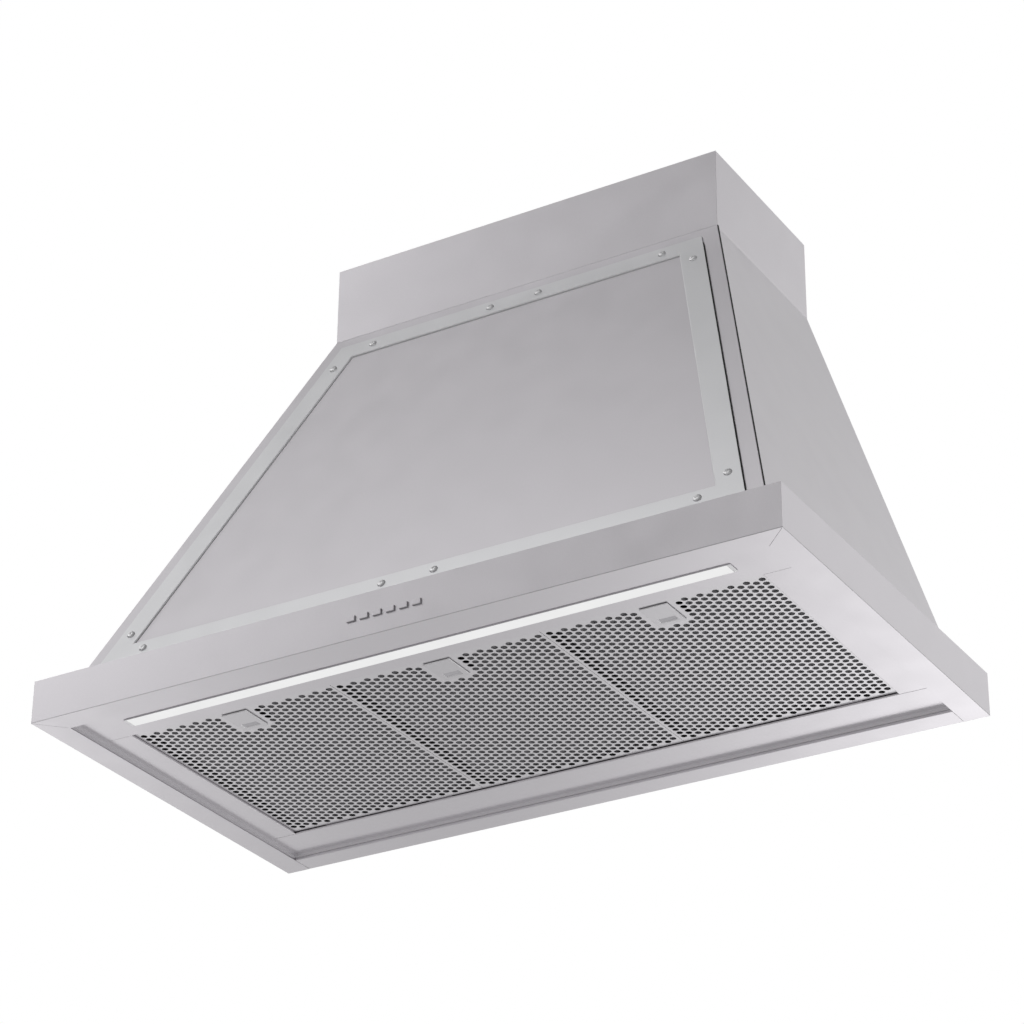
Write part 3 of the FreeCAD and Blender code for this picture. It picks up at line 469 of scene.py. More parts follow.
def extruded_aluminium():
    material, tree = new_material("anodised_aluminium_extrusion")
    lines = surface_noise(tree, DIE_LINE_WIDTH, 1.0, ALONG_THE_BAR)
    bump = add_node(tree, "ShaderNodeBump", {"Height": lines, "Distance": DIE_LINE_DEPTH, "Strength": 0.5})
    inputs = {
        "Base Color": linear("#C8C9CB"),
        "Metallic": 1.0,
        "Roughness": spread_value(tree, lines, middle=0.35, swing=0.04),
        "Normal": bump.outputs[0],
    }
    finish_material(tree, add_node(tree, "ShaderNodeBsdfPrincipled", inputs))
    return material


channel_aluminium = extruded_aluminium()
print("channel:", channel_aluminium.name)

# %% [markdown]
# The light bar's cover is opal acrylic, lit from behind by a strip of LEDs. Its face glows an even
# white that is not quite as bright as the background. Its thin edges are painted grey to stop
# stray light, so only the surface that looks down glows. The face's direction tells one from the
# other.

# %% Opal light cover
COVER_GLOW = 0.92
HAZE_WIDTH = mm(60)


def opal_cover():
    material, tree = new_material("opal_acrylic_light_cover")
    normal = add_node(tree, "ShaderNodeNewGeometry").outputs["Normal"]
    upward = add_node(tree, "ShaderNodeSeparateXYZ", {"Vector": normal}).outputs["Z"]
    lit = add_node(tree, "ShaderNodeMath", {0: upward, 1: FACES_DOWN}, operation="LESS_THAN")
    inputs = {0: surface_noise(tree, HAZE_WIDTH, 1.0), 6: linear("#F1F1F1"), 7: linear("#FAFAFA")}
    glow_colour = add_node(tree, "ShaderNodeMix", inputs, data_type="RGBA")
    inputs = {"Color": glow_colour.outputs[2], "Strength": COVER_GLOW}
    face = add_node(tree, "ShaderNodeEmission", inputs)
    inputs = {"Base Color": linear("#C9C7CB"), "Roughness": 0.5, "IOR": 1.49}
    edge = add_node(tree, "ShaderNodeBsdfPrincipled", inputs)
    inputs = {0: lit.outputs[0], 1: edge.outputs[0], 2: face.outputs[0]}
    finish_material(tree, add_node(tree, "ShaderNodeMixShader", inputs))
    return material


opal_acrylic = opal_cover()
print("opal cover glows at", COVER_GLOW)

# %% [markdown]
# Each push button is a small stainless cap. The cap's face has the band's finish, and its sides
# are painted a mid grey, painted shade for the shadow of the hole round them. As with the light
# cover, the face's direction separates the two.

# %% Push buttons
FACES_FRONT = -0.5       # a face whose normal's y is below this looks to the front


def button_cap_with_painted_side_shade():
    material, tree = new_material("stainless_cap_with_painted_side_shade")
    normal = add_node(tree, "ShaderNodeNewGeometry").outputs["Normal"]
    depth = add_node(tree, "ShaderNodeSeparateXYZ", {"Vector": normal}).outputs["Y"]
    cap = add_node(tree, "ShaderNodeMath", {0: depth, 1: FACES_FRONT}, operation="LESS_THAN")
    inputs = {0: surface_noise(tree, GRAIN_WIDTH), 6: linear("#CAC7CB"), 7: linear("#D0CDD1")}
    tint = add_node(tree, "ShaderNodeMix", inputs, data_type="RGBA")
    inputs = {"Base Color": tint.outputs[2], "Metallic": 1.0, "Roughness": 0.30}
    metal = add_node(tree, "ShaderNodeBsdfPrincipled", inputs)
    # The sides get a flat mid grey: painted shade.
    inputs = {"Base Color": linear("#8A888C"), "Roughness": 0.5}
    painted_side_shade = add_node(tree, "ShaderNodeBsdfPrincipled", inputs)
    inputs = {0: cap.outputs[0], 1: painted_side_shade.outputs[0], 2: metal.outputs[0]}
    finish_material(tree, add_node(tree, "ShaderNodeMixShader", inputs))
    return material


button_metal = button_cap_with_painted_side_shade()
print("buttons:", button_metal.name)

# %% [markdown]
# Each filter's latch is a small satin plate of cast zinc, close to the sheet's colour. Its side
# faces are painted pale, painted light that lifts the shade of the gap round the plate, and its
# finger pocket has a rubber pad at the bottom, so that the finger doesn't slip. The pad is the only
# surface that looks down from inside the plate, so its height and direction pick it out, and the
# edge is what looks sideways. All are taken in the latch's own coordinates, so the pad and the
# painted edge stay in place when the latch moves.

# %% Latch plates
POCKET_START = mm(0.5)   # what lies this far above the plate's underside is inside the pocket
POCKET_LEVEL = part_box("filter_latch_middle")[0].z + POCKET_START


def pad_and_painted_edge_masks(tree):
    """Two masks: the pad and the painted pale edge together, and of that the edge alone."""
    place = add_node(tree, "ShaderNodeTexCoord")
    height = add_node(tree, "ShaderNodeSeparateXYZ", {"Vector": place.outputs["Object"]}).outputs["Z"]
    downward = add_node(tree, "ShaderNodeSeparateXYZ", {"Vector": place.outputs["Normal"]}).outputs["Z"]
    inside = add_node(tree, "ShaderNodeMath", {0: height, 1: POCKET_LEVEL}, operation="GREATER_THAN")
    below = add_node(tree, "ShaderNodeMath", {0: downward, 1: FACES_DOWN}, operation="LESS_THAN")
    inputs = {0: inside.outputs[0], 1: below.outputs[0]}
    pad = add_node(tree, "ShaderNodeMath", inputs, operation="MULTIPLY")
    steep = add_node(tree, "ShaderNodeMath", {0: downward}, operation="ABSOLUTE")
    inputs = {0: steep.outputs[0], 1: -FACES_DOWN}
    edge = add_node(tree, "ShaderNodeMath", inputs, operation="LESS_THAN")
    inputs = {0: pad.outputs[0], 1: edge.outputs[0]}
    pad_or_painted_edge = add_node(tree, "ShaderNodeMath", inputs, operation="MAXIMUM")
    return pad_or_painted_edge.outputs[0], edge.outputs[0]


def latch_plate():
    material, tree = new_material("satin_zinc_latch")
    pad_or_painted_edge, edge = pad_and_painted_edge_masks(tree)
    inputs = {0: surface_noise(tree, GRAIN_WIDTH), 6: linear("#C6C4C7"), 7: linear("#CCCACD")}
    tint = add_node(tree, "ShaderNodeMix", inputs, data_type="RGBA")
    inputs = {"Base Color": tint.outputs[2], "Metallic": 1.0, "Roughness": 0.32}
    metal = add_node(tree, "ShaderNodeBsdfPrincipled", inputs)
    # The side faces are painted pale: painted light against the gap's shade.
    inputs = {0: edge, 6: linear("#B0AEB2"), 7: linear("#DEDDDF")}
    pad_and_painted_light_edge_tint = add_node(tree, "ShaderNodeMix", inputs, data_type="RGBA")
    inputs = {"Base Color": pad_and_painted_light_edge_tint.outputs[2], "Roughness": 0.6}
    pad_and_painted_light_edge = add_node(tree, "ShaderNodeBsdfPrincipled", inputs)
    inputs = {0: pad_or_painted_edge, 1: metal.outputs[0], 2: pad_and_painted_light_edge.outputs[0]}
    finish_material(tree, add_node(tree, "ShaderNodeMixShader", inputs))
    return material


latch_metal = latch_plate()
print("latch pads above", round(POCKET_LEVEL * 1000, 1), "mm")

# %% [markdown]
# ## Finishing the frame's pieces
# The record names a material slot for every piece. One table says which finish each slot gets, and
# a loop hands the finishes out. The rim's band shares its slot with the body, so it gets its own
# finish after the loop.

# %% Hand out the finishes
FINISHES = {
    "satin_stainless": satin_stainless,
    "trim_stainless": trim_stainless,
    "dark_ledge": ledge_sheet,
    "bright_screws": bright_nickel,
    "zinc_screws": zinc_plate,
    "galvanised_sheet": galvanised,
    "motor_black": black_enamel,
    "black_plastic": black_abs,
    "grey_plastic": grey_abs,
    "light_grey_plastic": pale_polycarbonate,
    "black_gasket": grey_silicone,
    "opal_diffuser": opal_acrylic,
    "channel_aluminium": channel_aluminium,
    "board_green": board_mask,
    "button_metal": button_metal,
    "filter_steel": filter_steel,
    "filter_mesh": ledge_sheet,
    "latch_metal": latch_metal,
}


def hand_out_finishes():
    for part in frame["record"]["subparts"]:
        mesh = nodes[part["node"]].data
        mesh.materials.clear()
        mesh.materials.append(FINISHES[part["material_slot"]])
    nodes["rim_band"].data.materials[0] = band_stainless_with_painted_shade


hand_out_finishes()

# %% [markdown]
# A folded sheet has no sharp edges: its folds are about as round as the sheet is thick, and cut
# edges are rubbed down. Each rounding catches a thin line of light from elsewhere in the studio,
# which draws the outline of every sheet. The loaded meshes come apart at every sharp edge, so they
# are welded and their flat faces are joined before a bevel rounds the edges. The bevel's overlap is
# clamped, because on a narrow face a wider one turns the sheet inside out.

# %% Round the edges
EDGE_ROUNDING = mm(0.5)
CRISP_ROUNDING = mm(0.15)  # sheets whose cut edges stay crisp
LATCH_ROUNDING = mm(0.7)   # a casting has softer edges
WELD_DISTANCE = mm(0.005)
FLAT_ANGLE = math.radians(0.5)
EDGE_ANGLE = math.radians(50)
CRISP = ["trim_frame", "left_side_panel", "right_side_panel", "collar"]
LATCHES = ["filter_latch_left", "filter_latch_middle", "filter_latch_right"]
ROUNDED = [
    "rim_band", "rear_flange", "light_panel", "rear_strip",
    "left_strip", "right_strip", "front_panel", "led_end_caps",
]


def round_edges(node, width):
    weld = node.modifiers.new("weld", "WELD")
    weld.merge_threshold = WELD_DISTANCE
    flat = node.modifiers.new("flat", "DECIMATE")
    flat.decimate_type = "DISSOLVE"
    flat.angle_limit = FLAT_ANGLE
    bevel = node.modifiers.new("rounding", "BEVEL")
    bevel.width = width
    bevel.segments = 2
    bevel.limit_method = "ANGLE"
    bevel.angle_limit = EDGE_ANGLE
    bevel.use_clamp_overlap = True


for names, width in ((ROUNDED, EDGE_ROUNDING), (CRISP, CRISP_ROUNDING), (LATCHES, LATCH_ROUNDING)):
    for name in names:
        round_edges(nodes[name], width)
    print("rounded by", width * 1000, "mm:", len(names))

# %% [markdown]
# ## The perforated filter sheets
# Each filter is a shallow tray whose bottom is punched with round holes in staggered rows: 29
# columns, 31 holes each, with every other column half a row further back. The frame has a coarse
# honeycomb there, so the real sheet is built here and takes its place. It could be a cut with
# nearly nine hundred cylinders, but a flat outline filled with holes in it is faster and cleaner.
# The filled face is then pulled up to the sheet's thickness, and the tray's walls stand on it.

# %% Hole pattern
HOLE_DIAMETER = mm(7.4)
HOLE_SIDES = 12
COLUMNS = 29
ROWS = 31
COLUMN_PITCH = mm(8.64)
ROW_PITCH = mm(9.64)
FIRST_ROW = mm(12.4)      # from the tray's front edge
LATCH_COLUMNS = range(12, 17)
LATCH_ROWS = 5            # the holes that make room for the latch
TAB_LENGTH = mm(8)


def tray_box(side):
    """The tray's own corners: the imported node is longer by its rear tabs."""
    low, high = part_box("filter_face_" + side)
    return low, Vector((high.x, high.y - TAB_LENGTH, high.z))


def first_column(low, rear):
    return (low.x + rear.x) / 2 - (COLUMNS - 1) / 2 * COLUMN_PITCH


def hole_centres(low, rear):
    centres = []
    for column in range(COLUMNS):
        for row in range(ROWS):
            if column in LATCH_COLUMNS and row < LATCH_ROWS:
                continue
            x = first_column(low, rear) + column * COLUMN_PITCH
            y = low.y + FIRST_ROW + (row + 0.5 * (column % 2)) * ROW_PITCH
            centres.append((x, y))
    return centres


print("holes per filter:", len(hole_centres(*tray_box("middle"))))

# %% [markdown]
# The tray's outline runs round the two tabs at the back that hook behind the rear strip. A slot in
# the middle lets the latch's boss through, and the front wall has a notch for its tongue. At its
# two sides the sheet stands out by a hair, a burr from pressing, which narrows the gap beside it.

# %% Outlines of the tray
TAB_WIDTH = mm(30)
TAB_SPACING = mm(140)
SLOT_HALF_WIDTH = mm(8.3)
SLOT_START = mm(23.2)     # from the tray's front edge
SLOT_LENGTH = mm(18.6)
SIDE_LIP = mm(0.3)        # the burr


def tray_outline(low, rear):
    middle = (low.x + rear.x) / 2
    left, right = low.x - SIDE_LIP, rear.x + SIDE_LIP
    points = [(left, low.y), (right, low.y), (right, rear.y)]
    for side in (1, -1):
        centre = middle + side * TAB_SPACING / 2
        near, far = centre + TAB_WIDTH / 2, centre - TAB_WIDTH / 2
        back = rear.y + TAB_LENGTH
        points += [(near, rear.y), (near, back), (far, back), (far, rear.y)]
    return points + [(left, rear.y)]


def slot_outline(low, rear):
    middle = (low.x + rear.x) / 2
    left, right = middle - SLOT_HALF_WIDTH, middle + SLOT_HALF_WIDTH
    front = low.y + SLOT_START
    return [(left, front), (right, front), (right, front + SLOT_LENGTH), (left, front + SLOT_LENGTH)]


def circle(centre, radius, sides):
    angles = [2 * math.pi * (i + 0.5) / sides for i in range(sides)]
    return [(centre[0] + radius * math.cos(a), centre[1] + radius * math.sin(a)) for a in angles]


print("corners of the tray's outline:", len(tray_outline(*tray_box("middle"))))

# %% [markdown]
# Five helpers build the meshes from here on. One draws a closed loop of edges, one adds a block
# between six planes, and one gives flat faces a thickness by pulling a copy of them up. The last
# two turn a finished mesh into a piece, with its faces turned outwards where that isn't sure.

# %% Mesh helpers
SHEET = mm(0.8)


def add_loop(mesh, points, z):
    verts = [mesh.verts.new((x, y, z)) for x, y in points]
    for start, end in zip(verts, verts[1:] + verts[:1]):
        mesh.edges.new((start, end))


def add_block(mesh, x0, x1, y0, y1, z0, z1):
    for vert in bmesh.ops.create_cube(mesh, size=1.0)["verts"]:
        x, y, z = vert.co
        vert.co = (
            (x0 + x1) / 2 + x * (x1 - x0),
            (y0 + y1) / 2 + y * (y1 - y0),
            (z0 + z1) / 2 + z * (z1 - z0),
        )


def thicken(mesh, height):
    pulled = bmesh.ops.extrude_face_region(mesh, geom=mesh.faces[:], use_keep_orig=True)
    for item in pulled["geom"]:
        if isinstance(item, bmesh.types.BMVert):
            item.co.z += height


def new_piece(name, mesh, material):
    data = bpy.data.meshes.new(name)
    mesh.to_mesh(data)
    mesh.free()
    data.materials.append(material)
    piece = bpy.data.objects.new(name, data)
    bpy.context.scene.collection.objects.link(piece)
    return piece


def turned_out_piece(name, mesh, material):
    bmesh.ops.recalc_face_normals(mesh, faces=mesh.faces[:])
    return new_piece(name, mesh, material)


print("sheet of the filters:", SHEET * 1000, "mm thick")

# %% [markdown]
# The outline, the slot and the holes are loops on one level. Filling them at once leaves every
# inner loop open. The walls are blocks on the sheet, and the front wall is three of them, so that
# the notch stays open between its two lower ones.

# %% Build the perforated trays
NOTCH_HALF_WIDTH = mm(5.3)
NOTCH_HEIGHT = mm(2.1)
SIDES = ("left", "middle", "right")


def add_walls(mesh, low, rear):
    middle = (low.x + rear.x) / 2
    left, right = low.x + SHEET, rear.x - SHEET
    front, back = low.y + SHEET, rear.y - SHEET
    foot, top = low.z + SHEET, rear.z
    notch_top = foot + NOTCH_HEIGHT
    add_block(mesh, low.x, left, low.y, rear.y, foot, top)
    add_block(mesh, right, rear.x, low.y, rear.y, foot, top)
    add_block(mesh, left, right, back, rear.y, foot, top)
    add_block(mesh, left, right, low.y, front, notch_top, top)
    add_block(mesh, left, middle - NOTCH_HALF_WIDTH, low.y, front, foot, notch_top)
    add_block(mesh, middle + NOTCH_HALF_WIDTH, right, low.y, front, foot, notch_top)


def perforated_tray(side):
    low, rear = tray_box(side)
    mesh = bmesh.new()
    add_loop(mesh, tray_outline(low, rear), low.z)
    add_loop(mesh, slot_outline(low, rear), low.z)
    for centre in hole_centres(low, rear):
        add_loop(mesh, circle(centre, HOLE_DIAMETER / 2, HOLE_SIDES), low.z)
    bmesh.ops.triangle_fill(
        mesh, use_beauty=True, use_dissolve=False, edges=mesh.edges[:], normal=(0, 0, -1)
    )
    thicken(mesh, SHEET)
    add_walls(mesh, low, rear)
    return turned_out_piece("perforated_tray_" + side, mesh, filter_steel)


for side in SIDES:
    tray = perforated_tray(side)
    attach(tray, "filter_" + side)
    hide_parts("filter_face_" + side)
    print(tray.name, "faces:", len(tray.data.polygons))

# %% [markdown]
# Above the holes lies a pad of expanded mesh, and a black band along the pad's edges is painted
# shade for the dark inside of the tray by its walls. The band lies just above the sheet, so the
# outermost holes look black where the view into them meets it. It has three flat blocks, at the
# left, the right and the rear, and none at the front, beside the latch.

# %% Black bands of painted shade
BAND_LEVEL = mm(1.2)      # above the tray's sheet
BAND_REACH = mm(7.4)      # from the tray's edge inward, at the left and the rear
RIGHT_REACH = mm(4)
BAND_SHEET = mm(0.6)
BAND_INSET = 2 * SHEET    # from the tray's edge: its wall, and as much room beside it


def painted_shade_band(side):
    low, rear = tray_box(side)
    foot = low.z + SHEET + BAND_LEVEL
    top = foot + BAND_SHEET
    front, back = low.y + BAND_INSET + BAND_REACH, rear.y - BAND_INSET
    left, right = low.x + BAND_REACH, rear.x - RIGHT_REACH
    mesh = bmesh.new()
    add_block(mesh, low.x + BAND_INSET, left, front, back, foot, top)
    add_block(mesh, right, rear.x - BAND_INSET, front, back, foot, top)
    add_block(mesh, left, right, rear.y - BAND_REACH, back, foot, top)
    # Black blocks: painted shade inside the tray.
    return new_piece("painted_shade_band_" + side, mesh, black_painted_shade)


for side in SIDES:
    band = painted_shade_band(side)
    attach(band, "filter_" + side)
print("edge band:", BAND_REACH * 1000, "mm wide")

# %% [markdown]
# The pad is aluminium sheet, slit and pulled into a net, and dull. The strands are light, and the
# gaps between them are painted dark, painted shade for the dark space seen through the net, in small
# uneven cells about as wide as the real diamonds. Each layer would be thousands of strands, so a
# cell pattern draws them on a plain sheet.

# %% Expanded aluminium
DIAMOND_WIDTH = mm(1.5)


def expanded_mesh():
    material, tree = new_material("expanded_aluminium_mesh")
    place = add_node(tree, "ShaderNodeTexCoord").outputs["Object"]
    inputs = {"Vector": place, "Scale": 1 / DIAMOND_WIDTH}
    cells = add_node(tree, "ShaderNodeTexVoronoi", inputs, feature="DISTANCE_TO_EDGE")
    # Dark cell middles: painted shade in the gaps of the net.
    inputs = {0: cells.outputs["Distance"], 6: linear("#7C7B7E"), 7: linear("#2C2C2E")}
    tint = add_node(tree, "ShaderNodeMix", inputs, data_type="RGBA")
    inputs = {"Base Color": tint.outputs[2], "Metallic": 1.0, "Roughness": 0.5}
    finish_material(tree, add_node(tree, "ShaderNodeBsdfPrincipled", inputs))
    return material


mesh_metal = expanded_mesh()
print("mesh cells", DIAMOND_WIDTH * 1000, "mm wide")

# %% [markdown]
# The pad's layers are crimped into waves, which keep them apart, and a wave is as wide as two
# columns of holes, so that every other column looks darker. The pad ends a little short of the
# tray's walls and of the latch, and the holes there are black. It is a strip of faces along a
# cosine, thickened like the tray's sheet.

# %% Crimped mesh pads
PAD_EDGE = mm(2.6)        # from the tray's left and right edges to the pad
PAD_FRONT = mm(5.0)       # from its front edge, beside the latch
PAD_REAR = mm(8.5)        # from its rear edge
PAD_LEVEL = mm(4.2)       # lowest point of a wave above the tray's sheet
WAVE_HEIGHT = mm(1.6)
WAVE_STEPS = 8
BAY_HALF_WIDTH = mm(26)   # the bay that the latch works in
BAY_LENGTH = mm(51)       # from the tray's front edge


def crimped_pad(side):
    low, rear = tray_box(side)
    middle = (low.x + rear.x) / 2
    base = low.z + SHEET + PAD_LEVEL
    width = rear.x - low.x - 2 * PAD_EDGE
    steps = round(width / (2 * COLUMN_PITCH) * WAVE_STEPS)
    mesh = bmesh.new()
    previous = None
    for i in range(steps + 1):
        x = low.x + PAD_EDGE + width * i / steps
        phase = math.pi * (x - first_column(low, rear)) / COLUMN_PITCH
        z = base + WAVE_HEIGHT * (1 + math.cos(phase)) / 2
        front = low.y + (BAY_LENGTH if abs(x - middle) < BAY_HALF_WIDTH else PAD_FRONT)
        here = [mesh.verts.new((x, y, z)) for y in (front, rear.y - PAD_REAR)]
        if previous:
            mesh.faces.new((previous[0], here[0], here[1], previous[1]))
        previous = here
    thicken(mesh, SHEET)
    return turned_out_piece("crimped_pad_" + side, mesh, mesh_metal)


for side in SIDES:
    pad = crimped_pad(side)
    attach(pad, "filter_" + side)
    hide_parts("filter_mesh_" + side)
    print(pad.name, "faces:", len(pad.data.polygons))

# %% [markdown]
# ## Screw heads
# Twelve pan-head screws hold the frame. A pan head is turned: nearly flat on top, with a rounded
# edge, and a cross recess pressed in. A profile spun round the screw's axis gives the head, and a
# cross of two straight bars is cut out of it.

# %% Pan head
HEAD_RADIUS = mm(4.7)
HEAD_HEIGHT = mm(2.1)
HEAD_PROFILE = [(0.0, 1.0), (0.45, 0.97), (0.7, 0.88), (0.86, 0.7), (0.96, 0.42), (1.0, 0.0)]
HEAD_STEPS = 32
RECESS_LENGTH = mm(2.8)
RECESS_WIDTH = mm(0.7)
RECESS_DEPTH = mm(0.35)
CUTTER_RISE = mm(1)       # the cutting bars stand this far out of the head


def head_mesh():
    mesh = bmesh.new()
    profile = [mesh.verts.new((r * HEAD_RADIUS, 0, z * HEAD_HEIGHT)) for r, z in HEAD_PROFILE]
    edges = [mesh.edges.new(pair) for pair in zip(profile, profile[1:])]
    bmesh.ops.spin(mesh, geom=profile + edges, cent=(0, 0, 0), axis=(0, 0, 1), angle=2 * math.pi,
                   steps=HEAD_STEPS, use_merge=True)
    bmesh.ops.remove_doubles(mesh, verts=mesh.verts[:], dist=WELD_DISTANCE)
    rim = [edge for edge in mesh.edges if edge.is_boundary]
    bmesh.ops.contextual_create(mesh, geom=rim)
    return mesh


def recess_mesh():
    mesh = bmesh.new()
    for length, width in ((RECESS_LENGTH, RECESS_WIDTH), (RECESS_WIDTH, RECESS_LENGTH)):
        x, y = length / 2, width / 2
        add_block(mesh, -x, x, -y, y, HEAD_HEIGHT - RECESS_DEPTH, HEAD_HEIGHT + CUTTER_RISE)
    return mesh


def cut_head():
    head = turned_out_piece("pan_head", head_mesh(), bright_nickel)
    recess = new_piece("recess", recess_mesh(), bright_nickel)
    cut = head.modifiers.new("cross", "BOOLEAN")
    cut.object = recess
    cut.operation = "DIFFERENCE"
    cut.solver = "EXACT"
    cut.use_self = True
    cut_mesh = bpy.data.meshes.new_from_object(head.evaluated_get(bpy.context.evaluated_depsgraph_get()))
    bpy.data.objects.remove(head)
    bpy.data.objects.remove(recess)
    return cut_mesh


pan_head = cut_head()
print("one head has", len(pan_head.polygons), "faces")

# %% [markdown]
# The heads sit where the frame's plain ones are, so their places are read from these. All twelve
# are one mesh, so each loose part of it is followed from edge to edge, and its middle is one
# screw. A screw stops where it is tight, so each head is turned by another angle.

# %% Place the screws
FRAME_THICKNESS = mm(2.4)
FIRST_TURN = 0.6          # radians
NEXT_TURN = 2.1
HEAD_CREASE = math.radians(35)   # flatter edges are shaded smooth


def plain_head_centres():
    mesh = bmesh.new()
    mesh.from_mesh(nodes["frame_screws"].data)
    bmesh.ops.remove_doubles(mesh, verts=mesh.verts[:], dist=WELD_DISTANCE)
    centres, seen = [], set()
    for start in mesh.verts:
        if start in seen:
            continue
        island, waiting = [], [start]
        seen.add(start)
        while waiting:
            vert = waiting.pop()
            island.append(vert.co.copy())
            for edge in vert.link_edges:
                other = edge.other_vert(vert)
                if other not in seen:
                    seen.add(other)
                    waiting.append(other)
        centres.append(sum(island, Vector()) / len(island))
    mesh.free()
    return centres


def pan_head_screws(centres):
    mesh = bmesh.new()
    turn = Matrix((Vector((1, 0, 0)), up_slope, off_slope)).transposed().to_4x4()
    for index, centre in enumerate(centres):
        height = (centre - slope_foot).dot(off_slope) - FRAME_THICKNESS
        seat = centre - off_slope * height
        driven = Matrix.Rotation(FIRST_TURN + NEXT_TURN * index, 4, "Z")
        before = len(mesh.verts)
        mesh.from_mesh(pan_head)
        mesh.verts.ensure_lookup_table()
        place = Matrix.Translation(seat) @ turn @ driven
        bmesh.ops.transform(mesh, matrix=place, verts=mesh.verts[before:])
    piece = new_piece("pan_head_screws", mesh, bright_nickel)
    for polygon in piece.data.polygons:
        polygon.use_smooth = True
    piece.data.set_sharp_from_angle(angle=HEAD_CREASE)
    return piece


head_centres = plain_head_centres()
screws = pan_head_screws(head_centres)
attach(screws, "root")
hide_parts("frame_screws")
print("screws:", len(head_centres), "faces:", len(screws.data.polygons))

# %% [markdown]
# ## Painted shadow lines
# Two black lines run down the right side of the front: the shadow gap along the outer long edge
# of the frame, and the one along the cut edge of the front sheet, where it meets the side sheet.
# Both are painted in as black bars, painted shadow. The left side has them too, but there the
# outer bar is lower and the edge bar is thinner and sunk, so that neither shows. All are straight
# bars with a slanted foot and head, so each is a box bent to the slope: eight corners, placed in
# the slope's own directions.

# %% Painted shadow lines
FRAME_BORDER = mm(20.3)    # plain front sheet beside the frame
FRAME_FOOT = mm(20.5)
FRAME_HEAD = mm(33)        # the outer shadow line ends a little below the frame's upper corner
OUTER_LINE_WIDTH = mm(0.8)
EDGE_LINE_DEPTH = mm(1.9)
EDGE_LINE_END = mm(1)        # from either end of the front sheet
FOOT_HALF_WIDTH = mm(420)
COLLAR_HALF_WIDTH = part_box("collar")[1].x
SHADOW_LINES = {
    # side, 1 for the right: (the outer line's height, the edge line's width, how far it is sunk)
    1: (FRAME_THICKNESS, mm(1.0), 0),
    -1: (mm(0.9), mm(0.3), mm(0.5)),
}


def slope_half_width(run):
    return FOOT_HALF_WIDTH + (COLLAR_HALF_WIDTH - FOOT_HALF_WIDTH) * run / slope_length


def slope_point(across, run, out):
    return Vector((across, 0, 0)) + slope_foot + up_slope * run + off_slope * out


def join_rings(mesh, first, second):
    for i in range(len(first)):
        j = (i + 1) % len(first)
        mesh.faces.new((first[i], first[j], second[j], second[i]))


def add_bar(mesh, first, second):
    """A closed bar between two rings of corners."""
    mesh.faces.new(first)
    mesh.faces.new(second)
    join_rings(mesh, first, second)


def add_shadow_line(mesh, side, border, width, foot, head, low_out, high_out):
    """A bar along one long edge, from low_out to high_out above the front sheet."""
    rings = []
    for run in (foot, head):
        inner = slope_half_width(run) - border
        corners = ((inner, low_out), (inner + width, low_out), (inner + width, high_out), (inner, high_out))
        rings.append([mesh.verts.new(slope_point(side * across, run, out)) for across, out in corners])
    add_bar(mesh, *rings)


# Black bars that stand in for shadow gaps: painted shadow.
def shadow_line_bars():
    mesh = bmesh.new()
    for side, (outer_line_height, width, sunk) in SHADOW_LINES.items():
        add_shadow_line(mesh, side, FRAME_BORDER, OUTER_LINE_WIDTH, FRAME_FOOT, slope_length - FRAME_HEAD, 0, outer_line_height)
        add_shadow_line(mesh, side, 0, width, EDGE_LINE_END, slope_length - EDGE_LINE_END, -EDGE_LINE_DEPTH, -sunk)
    return turned_out_piece("shadow_line_bars", mesh, black_painted_shade)


shadow_lines = shadow_line_bars()
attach(shadow_lines, "root")
print("beads:", len(shadow_lines.data.polygons) // 6)

# %% [markdown]
# ## The window
# The sheet in the frame's window carries a facing panel, a thin sheet on a stiff core, that brings
# it nearer to the frame. A pale strip lines the window, painted highlight for the lit inner edge of
# the frame, and a narrow gap is left between the two: light line, dark line. Both are trapezoids
# with the window's slanted sides, so they are made from rings of four corners, each ring a little
# inside the window and at its own level.

# %% Facing panel and painted highlight strip
WINDOW_SIDE = mm(49.9)     # border and frame together
WINDOW_FOOT = mm(46.1)
WINDOW_HEAD = mm(44.7)
FACING_LEVELS = (mm(-2.9), mm(0.9))     # measured out from the front sheet's face
STRIP_LEVELS = (mm(-0.5), mm(1.9))
FACING_GAPS = (mm(2.1), mm(1.0), mm(1.0), mm(2.8))    # to the window's left, right, foot and head
STRIP_WIDTH = mm(0.9)


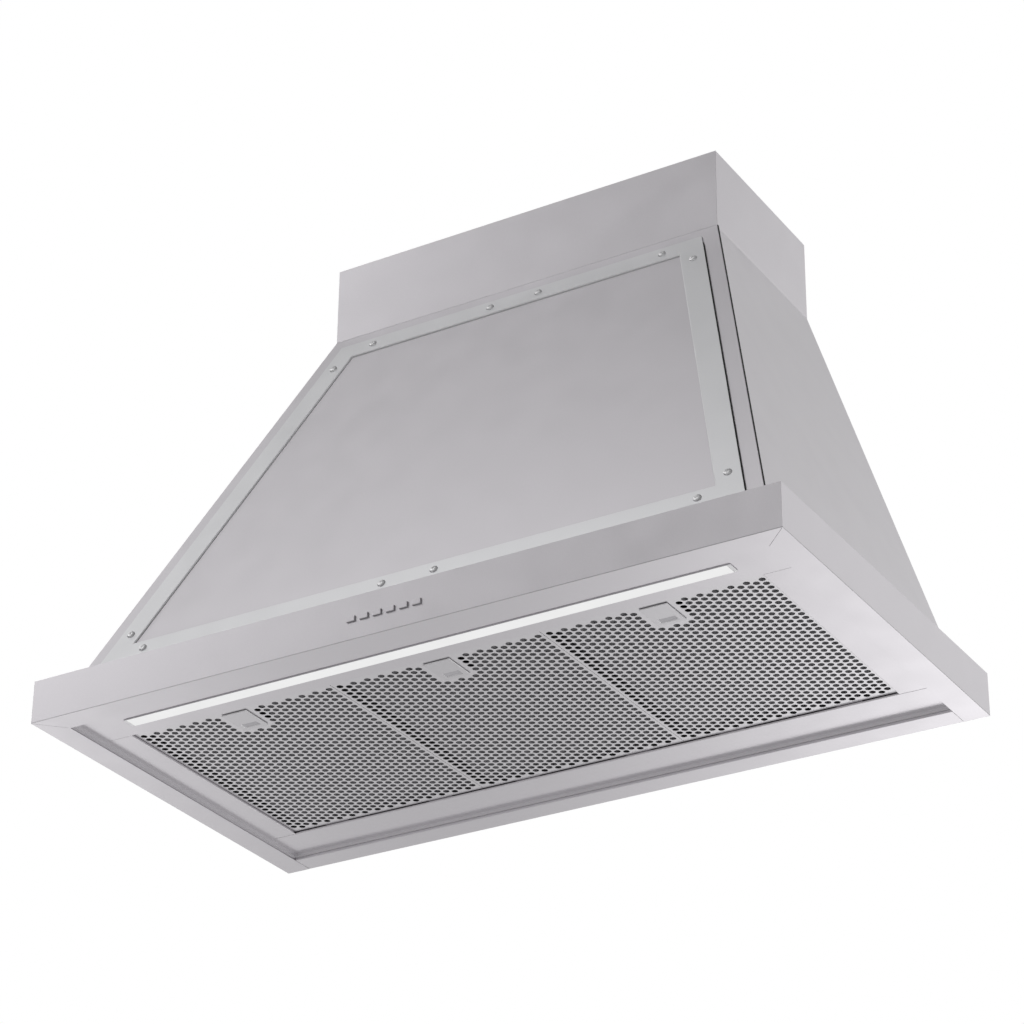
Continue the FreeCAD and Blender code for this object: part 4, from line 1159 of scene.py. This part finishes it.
def window_ring(mesh, gaps, out):
    left_gap, right_gap, foot_gap, head_gap = gaps
    foot, head = WINDOW_FOOT + foot_gap, slope_length - WINDOW_HEAD - head_gap
    corners = ((-1, left_gap, foot), (1, right_gap, foot), (1, right_gap, head), (-1, left_gap, head))
    ring = []
    for side, gap, run in corners:
        half = slope_half_width(run) - WINDOW_SIDE - gap
        ring.append(mesh.verts.new(slope_point(side * half, run, out)))
    return ring


def facing_panel():
    mesh = bmesh.new()
    back, front = [window_ring(mesh, FACING_GAPS, out) for out in FACING_LEVELS]
    add_bar(mesh, back, front)
    return turned_out_piece("window_facing_panel", mesh, satin_stainless)


# A pale strip round the window: painted highlight.
def painted_highlight_strip():
    mesh = bmesh.new()
    back, front = STRIP_LEVELS
    corners = ((mm(0), back), (mm(0), front), (STRIP_WIDTH, front), (STRIP_WIDTH, back))
    rings = [window_ring(mesh, (gap,) * 4, out) for gap, out in corners]
    for first, second in zip(rings, rings[1:] + rings[:1]):
        join_rings(mesh, first, second)
    return turned_out_piece("window_painted_highlight_strip", mesh, pale_polycarbonate)


for piece, slot in ((facing_panel(), "satin_stainless"), (painted_highlight_strip(), "light_grey_plastic")):
    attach(piece, "root")
    print(piece.name, "faces:", len(piece.data.polygons))

# %% [markdown]
# The collar is welded on the body. Its sides stand out from the body's side sheets by the step of
# the seam, which the weld fills: dressed flush, it leaves no line. Each seam is a long wedge, with
# a triangle at the front and another at the back.

# %% Dressed welds
SEAM_STEP = mm(1.05)


def weld_seams():
    low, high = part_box("collar")
    drop = SEAM_STEP * BODY_HEIGHT / (FOOT_HALF_WIDTH - COLLAR_HALF_WIDTH)
    mesh = bmesh.new()
    for side in (1, -1):
        outer, inner = side * high.x, side * (high.x - SEAM_STEP)
        corners = ((outer, low.z), (inner, low.z), (outer, low.z - drop))
        ends = [[mesh.verts.new((x, y, z)) for x, z in corners] for y in (low.y, high.y)]
        add_bar(mesh, *ends)
    return turned_out_piece("dressed_welds", mesh, satin_stainless)


welds = weld_seams()
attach(welds, "root")
print(welds.name, "faces:", len(welds.data.polygons))
